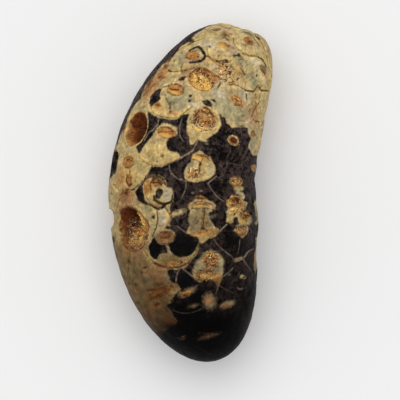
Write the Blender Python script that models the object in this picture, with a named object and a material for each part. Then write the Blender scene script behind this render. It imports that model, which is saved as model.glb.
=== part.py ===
"""A silicified pine cone lying on its side, one solid piece of stone.

Units are metres and +Z is up. The stem end points along +Y and the cone rests on a worn flat
at z = 0, with the middle of its bounding box over the origin. Places on its surface are given as
along, in millimetres along the spine from the apex, and around, in degrees from the top towards +X.
"""

import math
from typing import NamedTuple

import bmesh
import bpy
import numpy as np
from mathutils import Matrix, Vector, noise

MM = 0.001

# The spine bends in plan only. One smooth curve runs through these six stations, apex (-1) to stem end (1).
STATIONS = (-1.0, -0.6, -0.2, 0.2, 0.6, 1.0)
SPINE_X_MM = (7.1, 2.6, -1.4, -1.1, 5.9, 15.2)
SPINE_Y_MM = (-45.9, -29.2, -10.9, 8.9, 27.6, 45.1)
# Half-width of the ellipsoid that would fit the cone best at each station.
HALF_WIDTH_MM = (21.2, 20.4, 20.0, 19.9, 20.2, 25.1)
HEIGHT_TO_WIDTH = 0.93
REST_FLAT_DEPTH_MM = 1.1

# A scale is highest at its lower margin, a ledge over the next one, and swells around its eye.
LEDGE_MM = 0.5
SWELL_MM = 0.6
SWELL_LENGTH_MM = 7.0
SCALE_RUN_MM = 14.0
# The stations above give the outline over the relief, so the smooth body lies this far inside it.
INSET_MM = 0.6

# Columns of scales run along the cone, and neighbours stand half a pitch apart.
SCALE_PITCH_MM = 13.0
COLUMN_STEP_DEG = 30.0
FIRST_COLUMN_DEG = 15.0
FIRST_EYE_MM = 3.0
HALF_ANGLE_DEG = 26.0
REACH_MM = 8.0
MARGIN_POWER = 1.6
# Towards both ends the pattern dies out, and the stem has left a shallow round scar.
BARE_TIP_RADIUS_MM = 1.5
FULL_RELIEF_RADIUS_MM = 6.5
SCAR_RADIUS_MM = 3.2
SCAR_DEPTH_MM = 0.7
# The hidden columns follow the rule, with this much unevenness.
UNEVEN_MM = 1.2
UNEVEN_DEG = 3.0
UNEVEN_FREQUENCY = 0.37

BODY_SEGMENTS = 70
BODY_RINGS = 56
SPINE_SAMPLES = 801
SHARP_EDGE_DEG = 30.0

# A pit is cut by an ellipsoid whose middle floats this share of the pit's depth over the surface.
CUTTER_LIFT = 0.6
CUTTER_UNEVENNESS = 0.13
CUTTER_LUMPS = 2.3

STONE_SRGB = (0.72, 0.64, 0.47)
STONE_ROUGHNESS = 0.35


class Scale(NamedTuple):
    """One scale face: the place of its eye, its half-width, and how far it reaches below its eye."""

    along: float
    around: float
    half_angle: float = HALF_ANGLE_DEG
    reach: float = REACH_MM


class Pit(NamedTuple):
    """A weathered hollow: its middle, its half-sizes across and along the cone, and its depth, in mm."""

    along: float
    around: float
    half_across: float
    half_along: float
    depth: float
    finer: bool = False


class Bulge(NamedTuple):
    """A broad swelling or, with a negative height, a broad hollow of the cone's flank."""

    along: float
    around: float
    radius: float
    height: float


# The scales of the upper side stand less evenly than the rule, so each has its own place.
UPPER_SCALES = (
    Scale(92.0, 16, 26, 3.5),
    Scale(90.2, -36, 24, 4.5),
    Scale(88.0, -15, 22, 4.5),
    Scale(87.0, 46, 28, 6.0),
    Scale(83.0, 2, 24, 5.0),
    Scale(81.0, -41, 26, 6.0),
    Scale(77.5, 27, 24, 7.0),
    Scale(77.5, -15, 24, 6.5),
    Scale(72.8, -55, 20, 6.0),
    Scale(71.6, -30, 24, 6.6),
    Scale(70.5, 64, 24, 6.5),
    Scale(68.0, 8, 26, 6.5),
    Scale(65.3, 39, 24, 7.0),
    Scale(61.7, -20, 26, 8.4),
    Scale(60.7, -51, 22, 6.5),
    Scale(57.5, 74, 24, 7.0),
    Scale(57.4, 13, 26, 7.5),
    Scale(53.5, -48, 24, 6.3),
    Scale(51.0, 46, 24, 6.8),
    Scale(49.5, -20, 22, 6.5),
    Scale(43.5, 50, 24, 8.0),
    Scale(43.2, 16, 24, 10.0),
    Scale(41.0, -47, 24, 8.5),
    Scale(36.0, -14, 24, 8.7),
    Scale(35.0, 51, 26, 9.0),
    Scale(28.5, -38, 26, 8.0),
    Scale(28.4, 18, 24, 8.0),
    Scale(20.8, 49, 26, 7.0),
    Scale(20.7, -9, 24, 6.5),
    Scale(16.8, 9, 22, 5.0),
    Scale(14.2, 28, 22, 6.0),
    Scale(14.0, -38, 26, 6.0),
    Scale(8.7, -38, 28, 5.0),
    Scale(7.0, -2, 28, 5.0),
)
# The columns from here on, round the underside, follow the rule.
HIDDEN_FROM_DEG = 70.0

PITS = {
    "cavity_upper": Pit(60.5, -51, 3.9, 3.5, 4.5),
    "cavity_lower": Pit(38.7, -46, 6.2, 5.0, 3.4, finer=True),
    "cavity_lower_throat": Pit(41.3, -48, 2.9, 2.1, 7.0),
    "cavity_flank": Pit(53.0, -78, 3.4, 2.8, 2.2),
    "cavity_chip": Pit(41.3, -90, 13.0, 2.1, 1.5),
    "pit_stem_side": Pit(82.8, 1, 3.4, 2.2, 0.8),
    "pit_orange": Pit(77.3, -14, 4.4, 2.9, 1.1),
    "pit_swirled": Pit(68.0, 7, 3.6, 3.2, 1.4),
    "pit_eye_upper_left": Pit(80.8, -41, 2.9, 1.5, 0.6),
    "pit_eye_upper_right": Pit(65.0, 39, 2.8, 1.9, 0.6),
    "pit_eye_right": Pit(50.6, 47, 2.7, 2.1, 0.7),
    "pit_rough_right": Pit(44.4, 48, 4.0, 2.5, 1.0),
    "pit_rough_flank": Pit(39.2, 60, 3.1, 2.6, 0.9),
    "pit_eye_middle": Pit(35.8, -14, 2.4, 1.7, 0.6),
    "pit_rough_low": Pit(27.8, 17, 2.6, 2.4, 0.9),
    "pit_rough_lowest": Pit(23.8, 11, 3.1, 1.9, 0.7),
    "pit_eye_low": Pit(16.8, 9, 2.1, 2.0, 0.6),
    "pit_eye_lowest": Pit(14.2, 28, 2.7, 1.2, 0.6),
    "pit_under_right": Pit(71.0, 121, 3.4, 2.6, 1.0),
    "pit_under_left": Pit(28.5, -128, 3.0, 2.2, 0.8),
}

BULGES = (
    Bulge(71.0, 90, 5.5, 0.45),
    Bulge(61.5, 90, 1.8, -0.35),
    Bulge(53.0, 90, 3.0, -0.45),
    Bulge(37.0, 90, 5.0, 0.6),
    Bulge(26.5, 90, 3.0, -0.6),
)

curve_degree = len(STATIONS) - 1
spine_x = np.polyfit(STATIONS, SPINE_X_MM, curve_degree)
spine_y = np.polyfit(STATIONS, SPINE_Y_MM, curve_degree)
half_width = np.polyfit(STATIONS, HALF_WIDTH_MM, curve_degree)
fine_stations = np.linspace(-1.0, 1.0, SPINE_SAMPLES)
steps_x = np.diff(np.polyval(spine_x, fine_stations))
steps_y = np.diff(np.polyval(spine_y, fine_stations))
fine_alongs = np.concatenate([[0.0], np.cumsum(np.hypot(steps_x, steps_y))])
length_mm = float(fine_alongs[-1])


def frame_at(station, around):
    """The point on the smooth body and its outward, across and onward directions, in millimetres."""
    dx, dy = np.polyval(np.polyder(spine_x), station), np.polyval(np.polyder(spine_y), station)
    onward = Vector((dx, dy, 0.0)).normalized()
    side = Vector((onward.y, -onward.x, 0.0))
    up = Vector((0.0, 0.0, 1.0))
    angle = math.radians(around)
    roundness = math.sqrt(max(0.0, 1.0 - station * station))
    width = width_at(station)
    centre = Vector((np.polyval(spine_x, station), np.polyval(spine_y, station), 0.0))
    point = centre + side * (width * math.sin(angle)) + up * (HEIGHT_TO_WIDTH * width * math.cos(angle))
    radial = side * math.sin(angle) + up * math.cos(angle)
    outward = (radial * roundness + onward * station * abs(station)).normalized()
    across = side * math.cos(angle) - up * math.sin(angle)
    return point, outward, across, onward


def station_of(along):
    return float(np.interp(along, fine_alongs, fine_stations))


def along_of(station):
    return float(np.interp(station, fine_stations, fine_alongs))


def width_at(station):
    """Half-width of the smooth body in plan, in millimetres."""
    return float(np.polyval(half_width, station)) * math.sqrt(max(0.0, 1.0 - station * station))


def turn(degrees):
    """An angle brought between -180 and 180 degrees."""
    return (degrees + 180.0) % 360.0 - 180.0


def all_scales():
    """The upper scales and the ruled ones of the underside, from the stem end down, as they overlap."""
    scales = list(UPPER_SCALES)
    columns = round(360.0 / COLUMN_STEP_DEG)
    for column in range(columns):
        around = turn(FIRST_COLUMN_DEG + column * COLUMN_STEP_DEG)
        if abs(around) < HIDDEN_FROM_DEG:
            continue
        along = FIRST_EYE_MM + (column % 2) * SCALE_PITCH_MM / 2
        while along < length_mm:
            uneven = noise.noise_vector(Vector((column, along, COLUMN_STEP_DEG)) * UNEVEN_FREQUENCY)
            scales.append(Scale(along + UNEVEN_MM * uneven.x, around + UNEVEN_DEG * uneven.y))
            along += SCALE_PITCH_MM
    return sorted(scales, key=lambda scale: -scale.along)


def relief(station, around, scales):
    """Height of the surface over the smooth body, in millimetres."""
    along = along_of(station)
    height = 0.0
    for scale in scales:
        across = abs(turn(around - scale.around)) / scale.half_angle
        below = along - scale.along
        if across < 1.0 and below > -scale.reach * (1.0 - across**MARGIN_POWER):
            height = LEDGE_MM * max(0.0, 1.0 - (below + scale.reach) / SCALE_RUN_MM)
            height += SWELL_MM * max(0.0, 1.0 - across**2 - (below / SWELL_LENGTH_MM) ** 2)
            break
    radius = width_at(station)
    clear_of_tip = (radius - BARE_TIP_RADIUS_MM) / (FULL_RELIEF_RADIUS_MM - BARE_TIP_RADIUS_MM)
    height *= max(0.0, min(1.0, clear_of_tip))
    if station > 0.0:
        height -= SCAR_DEPTH_MM * math.exp(-((radius / SCAR_RADIUS_MM) ** 4))
    height -= INSET_MM
    for bulge in BULGES:
        off = math.radians(turn(around - bulge.around)) * HALF_WIDTH_MM[2]
        reach = math.hypot(off, along - bulge.along) / bulge.radius
        height += bulge.height * math.exp(-reach * reach)
    return height


def stone_material():
    material = bpy.data.materials.new("silicified_stone")
    material.use_nodes = True
    shader = material.node_tree.nodes["Principled BSDF"]
    shader.inputs["Base Color"].default_value = (*(channel**2.2 for channel in STONE_SRGB), 1.0)
    shader.inputs["Roughness"].default_value = STONE_ROUGHNESS
    shader.inputs["Metallic"].default_value = 0.0
    return material


def add_object(name, mesh_builder, collection):
    mesh = bpy.data.meshes.new(name)
    mesh_builder.to_mesh(mesh)
    mesh_builder.free()
    added = bpy.data.objects.new(name, mesh)
    collection.objects.link(added)
    return added


def build_body(collection):
    """A sphere bent along the spine and raised by the scale pattern. Also gives the shift that it took."""
    scales = all_scales()
    body = bmesh.new()
    bmesh.ops.create_uvsphere(body, u_segments=BODY_SEGMENTS, v_segments=BODY_RINGS, radius=1.0)
    for vertex in body.verts:
        station = max(-1.0, min(1.0, vertex.co.z))
        around = math.degrees(math.atan2(vertex.co.x, vertex.co.y))
        point, outward, _, _ = frame_at(station, around)
        vertex.co = (point + outward * relief(station, around, scales)) * MM
    bmesh.ops.recalc_face_normals(body, faces=body.faces)
    places = np.array([vertex.co for vertex in body.verts])
    low, high = places.min(axis=0), places.max(axis=0)
    middle = (low + high) / 2
    shift = Vector((-middle[0], -middle[1], -REST_FLAT_DEPTH_MM * MM - low[2]))
    bmesh.ops.translate(body, vec=shift, verts=body.verts)
    cone = add_object("cone", body, collection)
    cone.data.materials.append(stone_material())
    cone.data.shade_smooth()
    cone.data.set_sharp_from_angle(angle=math.radians(SHARP_EDGE_DEG))
    return cone, shift


def build_pit_cutter(name, pit, shift, collection):
    """An uneven ellipsoid sunk into the body, so that it leaves a mouth and a depth of the pit's sizes."""
    point, outward, across, onward = frame_at(station_of(pit.along), pit.around)
    lift = CUTTER_LIFT * pit.depth
    height = lift + pit.depth
    spread = math.sqrt(1.0 - (lift / height) ** 2)
    size = Vector((pit.half_across / spread, pit.half_along / spread, height))
    cutter = bmesh.new()
    bmesh.ops.create_icosphere(cutter, subdivisions=3 if pit.finer else 2, radius=1.0)
    for vertex in cutter.verts:
        uneven = 1.0 + CUTTER_UNEVENNESS * noise.noise(vertex.co * CUTTER_LUMPS + point)
        vertex.co = vertex.co * uneven * size * MM
    basis = Matrix((across, onward, outward)).transposed()
    cutter_object = add_object(name, cutter, collection)
    cutter_object.matrix_world = Matrix.Translation((point + outward * lift) * MM + shift) @ basis.to_4x4()
    return cutter_object


def build_rest_cutter(collection):
    """The block that takes off everything below z = 0, which leaves the flat that the cone rests on."""
    side = 2.0 * length_mm * MM
    block = bmesh.new()
    bmesh.ops.create_cube(block, size=side)
    bmesh.ops.translate(block, vec=(0.0, 0.0, -side / 2), verts=block.verts)
    return add_object("rest_flat", block, collection)


def cut(target, cutter):
    cutter.hide_render = True
    cutter.display_type = "WIRE"
    modifier = target.modifiers.new(cutter.name, "BOOLEAN")
    modifier.operation = "DIFFERENCE"
    modifier.solver = "EXACT"
    modifier.object = cutter


def main():
    for old in list(bpy.data.objects):
        bpy.data.objects.remove(old)
    part = bpy.data.collections.new("fossil_pine_cone")
    cutters = bpy.data.collections.new("cutters")
    for collection in (part, cutters):
        bpy.context.scene.collection.children.link(collection)
    cone, shift = build_body(part)
    for name, pit in PITS.items():
        cut(cone, build_pit_cutter(name, pit, shift, cutters))
    cut(cone, build_rest_cutter(cutters))


main()
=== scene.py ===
"""The looks of a silicified pine cone: its stone skin, its weathered eyes and its crystal-lined hollows.

Places on the cone are given as around, in degrees from the top towards +X, and along, in millimetres
along the spine from the apex. Lengths are millimetres until a mesh is made, and metres in the mesh.
"""

import logging
import math
from dataclasses import dataclass, field
from enum import Enum
from itertools import product

import bmesh
import bpy
import numpy as np
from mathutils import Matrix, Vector, noise


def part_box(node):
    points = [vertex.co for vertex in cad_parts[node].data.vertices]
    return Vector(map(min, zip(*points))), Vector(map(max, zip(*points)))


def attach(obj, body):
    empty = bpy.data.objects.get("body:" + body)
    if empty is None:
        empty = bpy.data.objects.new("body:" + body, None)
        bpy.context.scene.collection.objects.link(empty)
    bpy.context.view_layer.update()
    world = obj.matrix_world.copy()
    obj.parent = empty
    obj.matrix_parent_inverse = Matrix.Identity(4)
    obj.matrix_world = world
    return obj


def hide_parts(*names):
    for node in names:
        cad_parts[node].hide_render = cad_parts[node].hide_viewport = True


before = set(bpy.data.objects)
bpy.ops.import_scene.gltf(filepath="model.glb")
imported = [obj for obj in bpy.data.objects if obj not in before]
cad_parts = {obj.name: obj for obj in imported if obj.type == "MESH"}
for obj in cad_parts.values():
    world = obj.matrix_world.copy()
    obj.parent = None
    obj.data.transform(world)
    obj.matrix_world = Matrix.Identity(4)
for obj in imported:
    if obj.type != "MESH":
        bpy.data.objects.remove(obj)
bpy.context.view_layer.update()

MM = 0.001
log = logging.getLogger("fossil_cone")

Points = tuple[tuple[float, float], ...]
Noises = tuple[tuple[float, float, int], ...]
Span = tuple[float, float, float, float]
Tree = bpy.types.NodeTree
Socket = bpy.types.NodeSocket

# A layer's field runs from -CLEAR, clear of every mark, to CLEAR, well inside one.
CLEAR = 3.0


class Layer(Enum):
    """The layers of the stone's colour, named after the point attributes that hold them."""

    GREY = "grey"
    CREAM = "cream"
    LILAC = "lilac"
    ROSE = "rose"
    OLIVE = "olive"
    OCHRE = "ochre"
    STRAW = "straw"
    RUST = "rust"
    BLACK = "black"
    # deepest black: the mineral's own, and at the lower end partly painted shade
    JET_AND_SHADE = "jet_and_shade"
    VEIN = "vein"
    SEAM = "seam"
    CURL = "curl"
    DRUSE = "druse"
    # darkening share: partly the dark mineral's stain, partly painted shade of the lower end
    TINT = "tint_and_shade"


@dataclass(frozen=True)
class Body:
    """The smooth stone: a spine that bends in plan, and round sections along it."""

    stations: tuple[float, ...] = (-1.0, -0.6, -0.2, 0.2, 0.6, 1.0)
    spine_x_mm: tuple[float, ...] = (7.1, 2.6, -1.4, -1.1, 5.9, 15.2)
    spine_y_mm: tuple[float, ...] = (-45.9, -29.2, -10.9, 8.9, 27.6, 45.1)
    half_width_mm: tuple[float, ...] = (21.2, 20.4, 20.0, 19.9, 20.2, 25.1)
    height_to_width: float = 0.93
    samples: int = 801

    def curve(self, values: tuple[float, ...]) -> np.ndarray:
        """The polynomial that runs through one value at each station."""
        return np.polyfit(self.stations, values, len(self.stations) - 1)

    def spine_table(self) -> tuple[np.ndarray, np.ndarray]:
        """Stations from -1 to 1, and the distance along the spine to each, in millimetres.

        Returns:
            The two arrays.
        """
        stations = np.linspace(-1.0, 1.0, self.samples)
        step_x = np.diff(np.polyval(self.curve(self.spine_x_mm), stations))
        step_y = np.diff(np.polyval(self.curve(self.spine_y_mm), stations))
        return stations, np.concatenate([[0.0], np.cumsum(np.hypot(step_x, step_y))])

    def length(self) -> float:
        """Length of the spine in millimetres."""
        return float(self.spine_table()[1][-1])

    def along(self, station: np.ndarray) -> np.ndarray:
        """Distance along the spine, in millimetres, at each station."""
        return np.interp(station, *self.spine_table())

    def width(self, station: np.ndarray) -> np.ndarray:
        """Half-width in plan: the curve of half-widths times the root of 1 - station squared."""
        return np.polyval(self.curve(self.half_width_mm), station) * np.sqrt(np.clip(1 - station**2, 0, 1))

    def surface(self, station: np.ndarray, around: np.ndarray) -> tuple[np.ndarray, np.ndarray]:
        """Points of the smooth stone and their outward directions.

        A point is the spine's point + side * width * sin(around) + up * 0.93 * width * cos(around).
        Outward leans from the radial direction to the spine's own towards both ends.

        Args:
            station: stations from -1 to 1, any shape.
            around: angles in radians from the top, of the same shape.

        Returns:
            Points in millimetres and unit directions, each with a last axis of 3.
        """
        spine_x, spine_y = self.curve(self.spine_x_mm), self.curve(self.spine_y_mm)
        slope = np.stack([np.polyval(np.polyder(line), station) for line in (spine_x, spine_y)], -1)
        slope /= np.linalg.norm(slope, axis=-1, keepdims=True)
        flat = np.zeros_like(station)
        onward = np.stack([slope[..., 0], slope[..., 1], flat], -1)
        side = np.stack([slope[..., 1], -slope[..., 0], flat], -1)
        up = np.array([0.0, 0.0, 1.0])
        width = self.width(station)[..., None]
        sine, cosine = np.sin(around)[..., None], np.cos(around)[..., None]
        centre = np.stack([np.polyval(spine_x, station), np.polyval(spine_y, station), flat], -1)
        point = centre + side * width * sine + up * self.height_to_width * width * cosine
        roundness = np.sqrt(np.clip(1 - station**2, 0, 1))[..., None]
        lean = (station * np.abs(station))[..., None]
        outward = (side * sine + up * cosine) * roundness + onward * lean
        return point, outward / np.linalg.norm(outward, axis=-1, keepdims=True)


@dataclass(frozen=True)
class Places:
    """Where each vertex lies: around in degrees, along and the local half-width in millimetres."""

    around: np.ndarray
    along: np.ndarray
    width: np.ndarray

    def part(self, chosen: np.ndarray) -> "Places":
        """The places of the chosen vertices alone."""
        return Places(self.around[chosen], self.along[chosen], self.width[chosen])

    def offset(self, around: float, along: float) -> tuple[np.ndarray, np.ndarray]:
        """Millimetres across and along the surface from each vertex to a place."""
        return np.radians(turn(around - self.around)) * self.width, along - self.along


def turn(degrees: np.ndarray | float) -> np.ndarray | float:
    """Angles brought between -180 and 180 degrees."""
    return (degrees + 180.0) % 360.0 - 180.0


def smoothstep(low: float, high: float, value: np.ndarray) -> np.ndarray:
    """0 below low, 1 above high, and 3x^2 - 2x^3 between them."""
    part = np.clip((value - low) / (high - low), 0.0, 1.0)
    return part * part * (3 - 2 * part)


def lattice_noise(points: np.ndarray, size_mm: float, seed: int) -> np.ndarray:
    """Smooth noise between -1 and 1.

    Each corner of a lattice of cubes has a random value, mixed from its three whole numbers and the
    seed. A point takes the eight values round it, weighted by a smoothstep of its place in the cube.

    Args:
        points: places in millimetres, with a last axis of 3.
        size_mm: edge of one cube.
        seed: a whole number that picks the pattern.

    Returns:
        One value for each point.
    """
    cell = points / size_mm
    low = np.floor(cell).astype(np.int64)
    part = smoothstep(0.0, 1.0, cell - low)
    total = np.zeros(points.shape[:-1])
    for corner in product((0, 1), repeat=3):
        mixed = (low + np.array(corner)) @ np.array([73856093, 19349663, 83492791]) + seed * 7919
        mixed = ((mixed ^ (mixed >> 13)) * 1274126177) & 0xFFFFFFFF
        mixed = ((mixed ^ (mixed >> 15)) * 668265263) & 0xFFFFFFFF
        weight = np.prod(np.where(np.array(corner) == 1, part, 1 - part), axis=-1)
        total += weight * ((mixed ^ (mixed >> 16)) / 0x7FFFFFFF - 1)
    return total


@dataclass(frozen=True)
class Patch:
    """A patch of colour inside an outline of (around, along) points. A cut patch is taken away."""

    layer: Layer
    outline: Points
    edge_mm: float = 0.3
    cut: bool = False

    def reach(self, places: Places) -> np.ndarray:
        """Millimetres inside the outline, negative outside: the distance to the nearest side of it.

        Args:
            places: where the vertices lie.

        Returns:
            One value for each vertex.
        """
        inside = np.zeros(places.along.shape, bool)
        nearest = np.full(places.along.shape, np.inf)
        for start, end in zip(self.outline, self.outline[1:] + self.outline[:1]):
            nearest = np.minimum(nearest, side_distance(places, start, end))
            crosses = (start[1] > places.along) != (end[1] > places.along)
            rise = end[1] - start[1] if end[1] != start[1] else 1.0
            at = start[0] + (places.along - start[1]) * (end[0] - start[0]) / rise
            inside ^= crosses & (places.around < at)
        return np.where(inside, nearest, -nearest)

    def span(self) -> Span:
        """Lowest and highest around, then lowest and highest along."""
        arounds, alongs = zip(*self.outline)
        return min(arounds), max(arounds), min(alongs), max(alongs)


@dataclass(frozen=True)
class Spot:
    """An oval patch of colour: its middle, its half-sizes in degrees and millimetres, and its turn."""

    layer: Layer
    around: float
    along: float
    half_deg: float
    half_mm: float
    edge_mm: float = 0.3
    tilt_deg: float = 0.0
    cut: bool = False

    def reach(self, places: Places) -> np.ndarray:
        """Millimetres inside the oval, negative outside: (1 - radius) times its smaller half-size.

        Args:
            places: where the vertices lie.

        Returns:
            One value for each vertex.
        """
        across, onward = places.offset(self.around, self.along)
        tilt = math.radians(self.tilt_deg)
        long_way = across * math.cos(tilt) + onward * math.sin(tilt)
        short_way = onward * math.cos(tilt) - across * math.sin(tilt)
        half_across = math.radians(self.half_deg) * np.maximum(places.width, 1.0)
        radius = np.hypot(long_way / half_across, short_way / self.half_mm)
        return self.inside(radius, np.hypot(across, onward), np.minimum(half_across, self.half_mm))

    def inside(self, radius: np.ndarray, away: np.ndarray, smaller: np.ndarray) -> np.ndarray:
        """Millimetres inside the oval, from the share of its radius and its smaller half-size."""
        return (1 - radius) * smaller

    def span(self) -> Span:
        """Lowest and highest around, then lowest and highest along.

        Returns:
            The four limits, with room for the turn.
        """
        wide = self.half_deg + abs(self.tilt_deg) / 4
        high = self.half_mm + abs(self.tilt_deg) / 12
        return self.around - wide, self.around + wide, self.along - high, self.along + high


@dataclass(frozen=True)
class Ring(Spot):
    """The outline of an oval, drawn as a line."""

    half_line_mm: float = 0.12

    def inside(self, radius: np.ndarray, away: np.ndarray, smaller: np.ndarray) -> np.ndarray:
        """Millimetres inside the line's edge, from the distance to the oval along its radius."""
        return self.half_line_mm - np.abs(away / np.maximum(radius, 0.05) * (1 - radius))


@dataclass(frozen=True)
class Line:
    """A thin line through (around, along) points."""

    layer: Layer
    points: Points
    half_mm: float = 0.13
    edge_mm: float = 0.16
    cut: bool = False

    def reach(self, places: Places) -> np.ndarray:
        """Millimetres inside the line's edge, negative outside.

        Args:
            places: where the vertices lie.

        Returns:
            One value for each vertex.
        """
        nearest = np.full(places.along.shape, np.inf)
        for start, end in zip(self.points, self.points[1:]):
            nearest = np.minimum(nearest, side_distance(places, start, end))
        return self.half_mm - nearest

    def span(self) -> Span:
        """Lowest and highest around, then lowest and highest along."""
        arounds, alongs = zip(*self.points)
        return min(arounds), max(arounds), min(alongs), max(alongs)


@dataclass(frozen=True)
class Eye:
    """The worn boss of a scale: an oval of ochre with a thin dark rim, and a dark slit across it."""

    around: float
    along: float
    half_deg: float
    half_mm: float
    tilt_deg: float = 0.0
    slit: float = 0.5
    slit_mm: float = 0.12
    layer: Layer = Layer.OCHRE
    degree_mm: float = 0.33

    def marks(self) -> tuple["Spot | Ring | Line", ...]:
        """The oval, its rim, and the slit where slit is above 0.

        Returns:
            The marks, in the order that they are laid.
        """
        oval = (self.around, self.along, self.half_deg, self.half_mm, 0.22, self.tilt_deg)
        marks = [Spot(self.layer, *oval), Ring(Layer.RUST, *oval, half_line_mm=0.1)]
        if self.slit > 0:
            across = self.slit * self.half_deg
            rise = across * self.degree_mm * math.tan(math.radians(self.tilt_deg))
            ends = ((self.around - across, self.along - rise), (self.around + across, self.along + rise))
            marks.append(Line(Layer.RUST, ends, self.slit_mm, 0.2))
        return tuple(marks)


def side_distance(places: Places, start: tuple[float, float], end: tuple[float, float]) -> np.ndarray:
    """Distance in millimetres from each vertex to the straight side between two places.

    Args:
        places: where the vertices lie.
        start: one end, as around and along.
        end: the other end.

    Returns:
        One distance for each vertex.
    """
    start_x, start_y = places.offset(*start)
    end_x, end_y = places.offset(*end)
    side_x, side_y = end_x - start_x, end_y - start_y
    length = np.maximum(side_x**2 + side_y**2, 1e-9)
    part = np.clip(-(start_x * side_x + start_y * side_y) / length, 0.0, 1.0)
    return np.hypot(start_x + part * side_x, start_y + part * side_y)


def pairs(*values: float) -> Points:
    """Values in turn as (around, along) points."""
    return tuple(zip(values[::2], values[1::2]))


def spots(layer: Layer, *rows: tuple[float, ...], cut: bool = False) -> tuple[Spot, ...]:
    """Ovals of one layer: each row is around, along, half_deg, half_mm, edge_mm and, if turned, tilt_deg."""
    return tuple(Spot(layer, *row, cut=cut) for row in rows)


def lines(layer: Layer, edge_mm: float, *rows: tuple[float, ...], cut: bool = False) -> tuple[Line, ...]:
    """Lines of one layer and softness: each row is half_mm, then the points' around and along in turn."""
    return tuple(Line(layer, pairs(*row[1:]), row[0], edge_mm, cut) for row in rows)


@dataclass(frozen=True)
class Scale:
    """One scale face: the place of its eye, its half-width, and how far it reaches below its eye.

    Where the lower margin runs unevenly, margin lists points of it from left to right.
    """

    along: float
    around: float
    half_angle: float = 26.0
    reach: float = 8.0
    margin: Points = ()
    faint: bool = False

    def edge(self) -> Points:
        """Points of the lower margin: along = eye - reach * (1 - |across|^1.6), unless they are listed.

        Returns:
            The points from left to right.
        """
        if self.margin:
            return self.margin
        across = np.linspace(-1.0, 1.0, 9)
        alongs = self.along - self.reach * (1 - np.abs(across) ** 1.6)
        return tuple((self.around + self.half_angle * a, float(b)) for a, b in zip(across, alongs))


# Scale faces of the upper side whose lower margin shows, and faint ones, from the stem end down.
UPPER_SCALES = (
    Scale(92, 16, 26, margin=pairs(-12, 91.5, -6, 90, 1, 89.2, 13, 88.8, 23, 89.2, 36, 89.8, 43, 89.8)),
    Scale(88, -15, 22, margin=pairs(-36, 86.5, -30, 84.9, -23, 83.6, -15, 82.9, -6, 83.6, 3, 85.6)),
    Scale(87, 46, 28, margin=pairs(
        29, 82.5, 32, 80.6, 37, 80.9, 44, 81.5, 45.6, 82.4, 46.4, 83.3, 50, 83.3, 55, 82.9, 62, 83.2,
        70, 83.6,
    )),
    Scale(81, -41, 26, margin=pairs(
        -64, 79, -60, 76.6, -54.5, 75.3, -49.5, 75.1, -42, 75.8, -33, 77.2, -27, 79,
    )),
    Scale(71.6, -30, 24, margin=pairs(
        -50, 69, -46, 65.8, -40, 64.8, -31, 64.6, -20, 65.2, -16, 65.8, -13.4, 67.2, -8, 70,
    )),
    Scale(61.7, -20, 26, margin=pairs(
        -43, 57, -39, 54.6, -33, 53.7, -27, 53.3, -18, 53.4, -11, 54.5, -5, 55.8, 1.3, 57.7, 6.4, 61.1,
    )),
    Scale(57.4, 13, 26, margin=pairs(
        -12, 54, -8, 51.5, -2, 50.2, 5, 49.9, 13, 49.8, 20.3, 50.3, 28, 52, 33, 53, 36, 56,
    )),
    Scale(53.5, -48, 24, margin=pairs(
        -70, 48.4, -65, 48, -60, 47.2, -51, 47.3, -42, 47.3, -38, 48.3, -33, 49.4, -29, 51.1, -26, 53,
    )),
    Scale(49.5, -20, 22, margin=pairs(
        -31, 47, -26, 44.4, -20, 43.1, -15, 43.2, -11, 44.2, -7, 44.8, -4, 47,
    )),
    Scale(43.2, 16, 24, margin=pairs(
        -5, 38.2, -1.2, 37, 5, 35, 13.4, 32.3, 20, 33.8, 29.2, 35.5, 36.8, 37.3, 40, 38.5,
    )),
    Scale(36, -14, 24, margin=pairs(
        -36.2, 33.3, -31.7, 30.8, -26.7, 29.3, -19.7, 28, -8.3, 27.5, -1.3, 28.2, 7, 30.6, 10.2, 32.5,
    )),
    Scale(35, 51, 26, margin=pairs(
        23.5, 33.3, 28.6, 30.4, 33, 28.9, 37.4, 27.7, 42.5, 25.9, 50, 26.1, 55.2, 26.5, 62, 27.6, 76, 31,
    )),
    Scale(28.4, 18, 24, margin=pairs(
        -5.1, 27.3, 0, 24.5, 6, 22.6, 14, 21.4, 21, 20.3, 26, 22.3, 30.5, 22.8, 38.7, 24,
    )),
    Scale(20.7, -9, 24, margin=pairs(
        -29, 17.6, -24.1, 16.2, -19.7, 15.6, -14, 15.1, -7.7, 14.9, -1.3, 15.2, 5, 15.6, 12, 18,
    )),
    *(Scale(*row, faint=True) for row in (
        (90.2, -36, 24, 4.5), (83, 2, 24, 5), (77.5, 27, 24, 7), (77.5, -15, 24, 6.5), (72.8, -55, 20, 6),
        (70.5, 64, 24, 6.5), (68, 8, 26, 6.5), (65.3, 39, 24, 7), (60.7, -51, 22, 6.5), (57.5, 74, 24, 7),
        (51, 46, 24, 6.8), (43.5, 50, 24, 8), (41, -47, 24, 8.5), (28.5, -38, 26, 8), (20.8, 49, 26, 7),
        (16.8, 9, 22, 5), (14.2, 28, 22, 6), (14, -38, 26, 6), (8.7, -38, 28, 5), (7, -2, 28, 5),
    )),
)


@dataclass(frozen=True)
class Pit:
    """A weathered hollow: its middle, its half-sizes across and along, and its depth, in millimetres."""

    along: float
    around: float
    half_across: float
    half_along: float
    depth: float
    crystals: int = 0
    crystal_mm: float = 0.4
    ragged: float = 1.0

    def radius(self, places: Places) -> np.ndarray:
        """Distance from the middle as a share of the half-sizes, 1 at the mouth."""
        across, onward = places.offset(self.around, self.along)
        return np.hypot(across / self.half_across, onward / self.half_along)


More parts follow.
